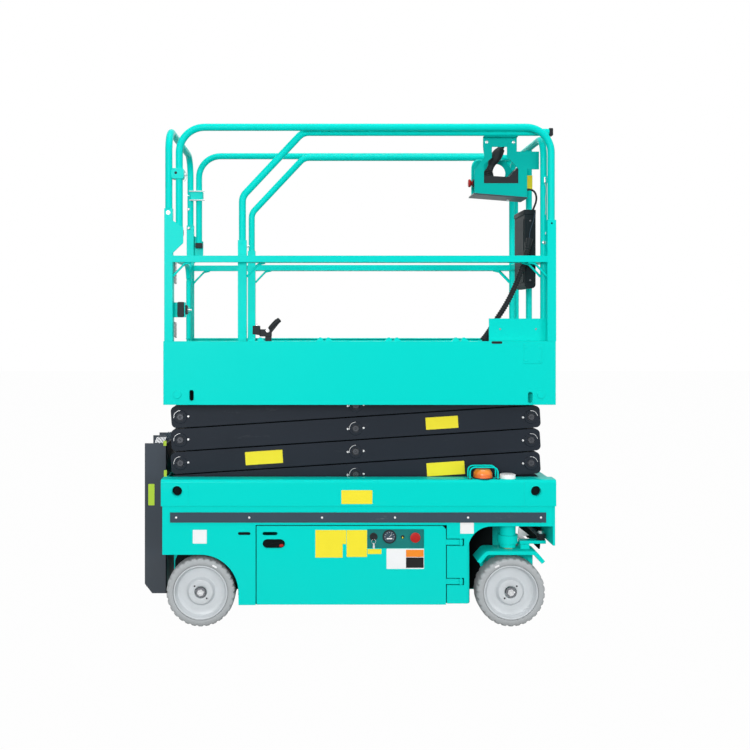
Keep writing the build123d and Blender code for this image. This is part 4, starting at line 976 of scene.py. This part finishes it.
# Cord dressing: rolled ribs along the conduit, a bell at its lower end and boots where cords leave the machine
for cordName, colour in (("conduit_core", "black"), ("cage_cable", "black"), ("sensor_wire", "slate")):
    cords[cordName][0].data.materials.append(finishes[colour])


def alongPath(path, start, end, step):
    # Points at even steps along the path between two distances from its start, in millimetres
    path = path * 1000
    reach = np.concatenate([[0], np.cumsum(np.linalg.norm(np.diff(path, axis=0), axis=1))])
    wanted = np.arange(start, min(end, reach[-1]), step)
    return np.stack([np.interp(wanted, reach, path[:, k]) for k in range(3)], 1), wanted


conduitPath = cords["conduit_core"][1]
ribPath, ribPlace = alongPath(conduitPath, 30, 470, 1.3)
ribSize = 11.6 + 1.9 * np.clip(1.5 * np.cos(ribPlace * 2 * math.pi / 11.5), -1, 1)
bootPath, bootPlace = alongPath(conduitPath, 1, 40, 1.5)
bootSize = np.interp(bootPlace, (0, 4, 12, 36, 40), (14, 15.5, 15, 12.2, 11.4)) + 0.5 * np.cos(bootPlace * 2 * math.pi / 6)
bellPath, bellPlace = alongPath(conduitPath, 452, 512, 1.5)
bellSize = np.interp(bellPlace, (452, 460, 486, 500, 507, 511), (12.2, 12.8, 15.5, 19.5, 21, 19)) \
    + 0.9 * np.clip(1.8 * np.cos(bellPlace * 2 * math.pi / 9), -1, 1)
conduitRibs = makePiece("conduit_ribs", "extension", "black", [tube(ribPath, ribSize, 20)])
conduitBoot = makePiece("conduit_boot", "extension", "black", [tube(bootPath, bootSize, 24)])
conduitBell = makePiece("conduit_bell", "extension", "black", [tube(bellPath, bellSize, 24)])
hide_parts("control_conduit")
look = cordLook["conduit_core"]
cablePath = cords["cage_cable"][1]
glandPath, glandPlace = alongPath(cablePath, 0.5, 22, 1.2)
cableGland = makePiece("cable_gland", "extension", "black",
                       [tube(glandPath, np.interp(glandPlace, (0, 2, 7, 7.4, 21), (8.2, 9, 9, 6.8, 4.8)), 18)])
entry = revolve([(-8, 8), (-2, 8), (0, 6.5), (3, 5.2)], tuple(cablePath[-1] * 1000 + np.array((0, 0, 5))), (0, 0, 1), 20)
cableEntry = makePiece("cable_entry", "extension", "black", [entry])
for cordName, extras in (("cage_cable", [cableGland, cableEntry]), ("sensor_wire", [])):
    look = cordLook[cordName]
print("stage: cord dressing")

# Operator's controls: moulded grip on a bellows, stop button, switches, cage bolts and base ledge
controlLook = {"lever": -233.0, "gripPath": [(658, 2050), (664, 2066), (674, 2086), (688, 2108), (702, 2128), (716, 2146)],
               "gripSize": [9, 14, 23, 26, 23, 15]}
y = controlLook["lever"]
gripLine = smoothPath([(x, y, z) for x, z in controlLook["gripPath"]], 40)
gripSize = np.interp(np.linspace(0, 1, 40), np.linspace(0, 1, 6), controlLook["gripSize"]) + 0.5 * np.cos(np.linspace(0, 26, 40))
gripSize[-3:] *= (0.93, 0.78, 0.5)
trigger = tube(smoothPath([(690, y - 4, 2104), (702, y - 4, 2110), (712, y - 4, 2124), (722, y - 4, 2136)], 14), 5.5, 10)
thumb = revolve([(0, 9), (4, 9), (7, 7.5), (8, 5)], (716, y, 2148), (0.55, 0, 0.83), 20)
bellowsPlace = np.linspace(0, 1, 33)
bellowsSize = 30 - 17 * bellowsPlace + 2.2 * np.cos(bellowsPlace * 2 * math.pi * 5)
bellowsPath = np.stack([648 + 10 * bellowsPlace, np.full(33, y), 2012 + 40 * bellowsPlace], 1)
makePiece("lever_grip_cage", "extension", "black", [tube(gripLine, gripSize, 22), trigger, thumb])
makePiece("lever_bellows", "extension", "black", [tube(bellowsPath, bellowsSize, 28)])
stopHead = revolve([(0, 9), (6, 9.5), (8, 15), (11, 18), (16, 18.4), (19, 16), (20.5, 9)], (580, y, 1985), (-1, 0, 0), 36)
stopRing = revolve([(-4, 18), (0, 18), (1.5, 16.5), (2, 10)], (581, y, 1985), (-1, 0, 0), 32)
makePiece("cage_stop_button", "extension", "red", [stopHead])
makePiece("cage_stop_ring", "extension", "black", [stopRing])
faceBits = [dome((x, y + dy, 1990 + dz), (-1, 0, 0), 5.5, 5) for x, dy, dz in ((605.5, -32, 0), (605.5, 34, 0), (605.5, 34, -24))]
makePiece("cage_switches", "extension", "black", faceBits)
cageBolts = []
for x, z in ((632.5, 2161), (753, 2160)):
    cageBolts += hexBolt((x, -300.0, z), toRight, 5.5, 4.0, 1.2)
makePiece("cage_bolts", "extension", "zinc", cageBolts)
ledge = [sidePlate([(574, 1926), (816, 1907), (816, 1912), (574, 1931.5)], (164, 302), 0.6)]
makePiece("cage_ledge", "extension", "steel", ledge)
screws = [dome((x, -(180 + dy), 1927 - (x - 577) * 0.0759 - 14.2), (0, 0, -1), 4.5, 2.5, 12) for x in (600, 790) for dy in (10, 100)]
latchLock = [revolve([(0, 9), (8, 9), (11, 7)], (748, -208, 1917), (0, 0, -1), 20)]
makePiece("cage_under_bits", "extension", "zinc", latchLock)
edgeTrim = [tube(roundedRoute([(590, -165, 1940), (590, -165, 2100), (650, -165, 2102), (735, -165, 2101)], 40), 4.0, 10)]
makePiece("cage_edge_tube", "extension", "turquoise", edgeTrim)
print("stage: controls")

# Document box: moulded lid, vertical edge, rim and hanging clips
boxLid = [block((808, 864), (-265, -57), (1838, 1861), 2.5, 8, axis=2), block((809, 813), (-250, -74), (1530, 1825), 1.2, 10, axis=0),
          block((822, 854), (-265.5, -261), (1528, 1822), 1.4, 8)]
makePiece("box_lid", "extension", "boxGrey", boxLid)
boxBits = [dome((837, -265.4, z), toRight, 4.5, 2.2, 14) for z in (1540, 1810)]
makePiece("box_screws", "extension", "pinSteel", boxBits)
clips = [part for z in (1868,) for dy in (90, 150, 210) for part in (block((838, 856), (-dy - 9, -dy + 9), (1858, 1871), 1.2, 3),)]
makePiece("box_clips", "extension", "turquoise", clips)

# Extension's rails: middle front post, post plugs, rail plugs, post bolts and the pin on its lanyard
frontPost = [tube([(883, -45, 1125), (883, -45, 1300), (883, -45, 1700), (883, -45, 2176)], 14.5, 20)]
foot = [block((868, 898), (-62, -28), (1124, 1131), 1.2, 3, axis=2)]
makePiece("front_mid_post", "extension", "turquoise", frontPost + foot)
plugs = [block((905, 922), (-338, -304), (2183, 2217), 1.6, 5, axis=0)]
makePiece("rail_plugs", "extension", "black", bothSides(plugs))
postBits = []
for x, z in ((893, 1746), (880, 1705)):
    postBits += [dome((x, -337.5, z), toRight, 8, 4)]
for x, z in ((-466, 1690),):
    postBits += hexBolt((x + 22, -321, z), (1, 0, 0), 6, 8)
makePiece("rail_bolts", "extension", "zinc", bothSides(postBits))
hanger = [block((872, 896), (-338, -318), (1968, 2004), 1.5, 4)]
makePiece("pin_hanger", "extension", "turquoise", hanger)
hangPin = [tube([(884, -341, 1996), (884, -341, 1972)], 5, 12),
           tube(smoothPath([(884, -341, 1972), (890, -341, 1940), (887, -341, 1900), (889, -341, 1860), (886, -341, 1830)], 30), 1.4, 6)]
makePiece("hanging_pin", "extension", "zinc", hangPin)
toeMarks = [revolve([(0, 4), (0.5, 4), (0.9, 3)], (x, -345.0, 1319), toRight, 14) for x in (683, 843)]
makePiece("toe_rivets", "extension", "pinSteel", toeMarks)
railLabels = [label((871, 896), (1980, 2048), 60.6, radius=2)]
makePiece("post_label", "extension", "yellow", railLabels)
print("stage: extension")

# Studio: a pale floor and soft lamps
studio = {"floor": 40.0, "floorColour": (0.3, 0.3, 0.3), "whiteShare": 0.985, "skyLight": 0.42,
          "lamps": {"key": ((-2.6, -8.8, 2.9), 3.0, 440.0), "fill": ((5.4, -7.0, 1.0), 3.0, 200.0),
                    "top": ((0.3, -1.0, 6.8), 4.0, 170.0), "back": ((0.5, 6.0, 4.0), 4.0, 70.0)}}


def makeStudio(look):
    half = look["floor"] / 2
    plane = bpy.data.meshes.new("studioFloor")
    plane.from_pydata([(-half, -half, 0), (half, -half, 0), (half, half, 0), (-half, half, 0)], [], [(0, 1, 2, 3)])
    floor = bpy.data.objects.new("studioFloor", plane)
    bpy.context.scene.collection.objects.link(floor)
    f = Finish("studioFloor")
    rays = [f.node("ShaderNodeLightPath", output=ray) for ray in ("Is Camera Ray", "Is Glossy Ray", "Is Transmission Ray")]
    seen = f.clamp(rays[0] + rays[1] + rays[2])
    matt = f.node("ShaderNodeBsdfDiffuse", None, {"Color": look["floorColour"]})
    white = f.node("ShaderNodeEmission", None, {"Color": (1.0, 1.0, 1.0), "Strength": 1.0})
    mixed = f.node("ShaderNodeMixShader", None, {0: seen * look["whiteShare"], 1: matt, 2: white})
    f.node("ShaderNodeOutputMaterial", None, {"Surface": mixed})
    plane.materials.append(f.material)
    world = bpy.data.worlds.new("studioSky")
    world.use_nodes = True
    bpy.context.scene.world = world
    tree = world.node_tree
    tree.nodes.clear()
    path = tree.nodes.new("ShaderNodeLightPath")
    first = tree.nodes.new("ShaderNodeMath")
    second = tree.nodes.new("ShaderNodeMath")
    level = tree.nodes.new("ShaderNodeMapRange")
    sky = tree.nodes.new("ShaderNodeBackground")
    out = tree.nodes.new("ShaderNodeOutputWorld")
    tree.links.new(path.outputs["Is Camera Ray"], first.inputs[0])
    tree.links.new(path.outputs["Is Glossy Ray"], first.inputs[1])
    tree.links.new(first.outputs[0], second.inputs[0])
    tree.links.new(path.outputs["Is Transmission Ray"], second.inputs[1])
    tree.links.new(second.outputs[0], level.inputs["Value"])
    level.inputs["To Min"].default_value = look["skyLight"]
    level.inputs["To Max"].default_value = 1.0
    tree.links.new(level.outputs[0], sky.inputs["Strength"])
    sky.inputs["Color"].default_value = (1.0, 1.0, 1.0, 1.0)
    tree.links.new(sky.outputs[0], out.inputs["Surface"])
    for lampName, (place, size, power) in look["lamps"].items():
        data = bpy.data.lights.new(lampName, "AREA")
        data.size = size
        data.energy = power
        lamp = bpy.data.objects.new(lampName, data)
        bpy.context.scene.collection.objects.link(lamp)
        lamp.location = place
        aim = np.array((0.0, 0.0, 1.0)) - np.array(place)
        flat = math.hypot(aim[0], aim[1])
        lamp.rotation_euler = (math.atan2(flat, -aim[2]), 0.0, math.atan2(-aim[0], aim[1]))


makeStudio(studio)
bpy.context.scene.view_settings.view_transform = "Standard"
print("stage: studio")
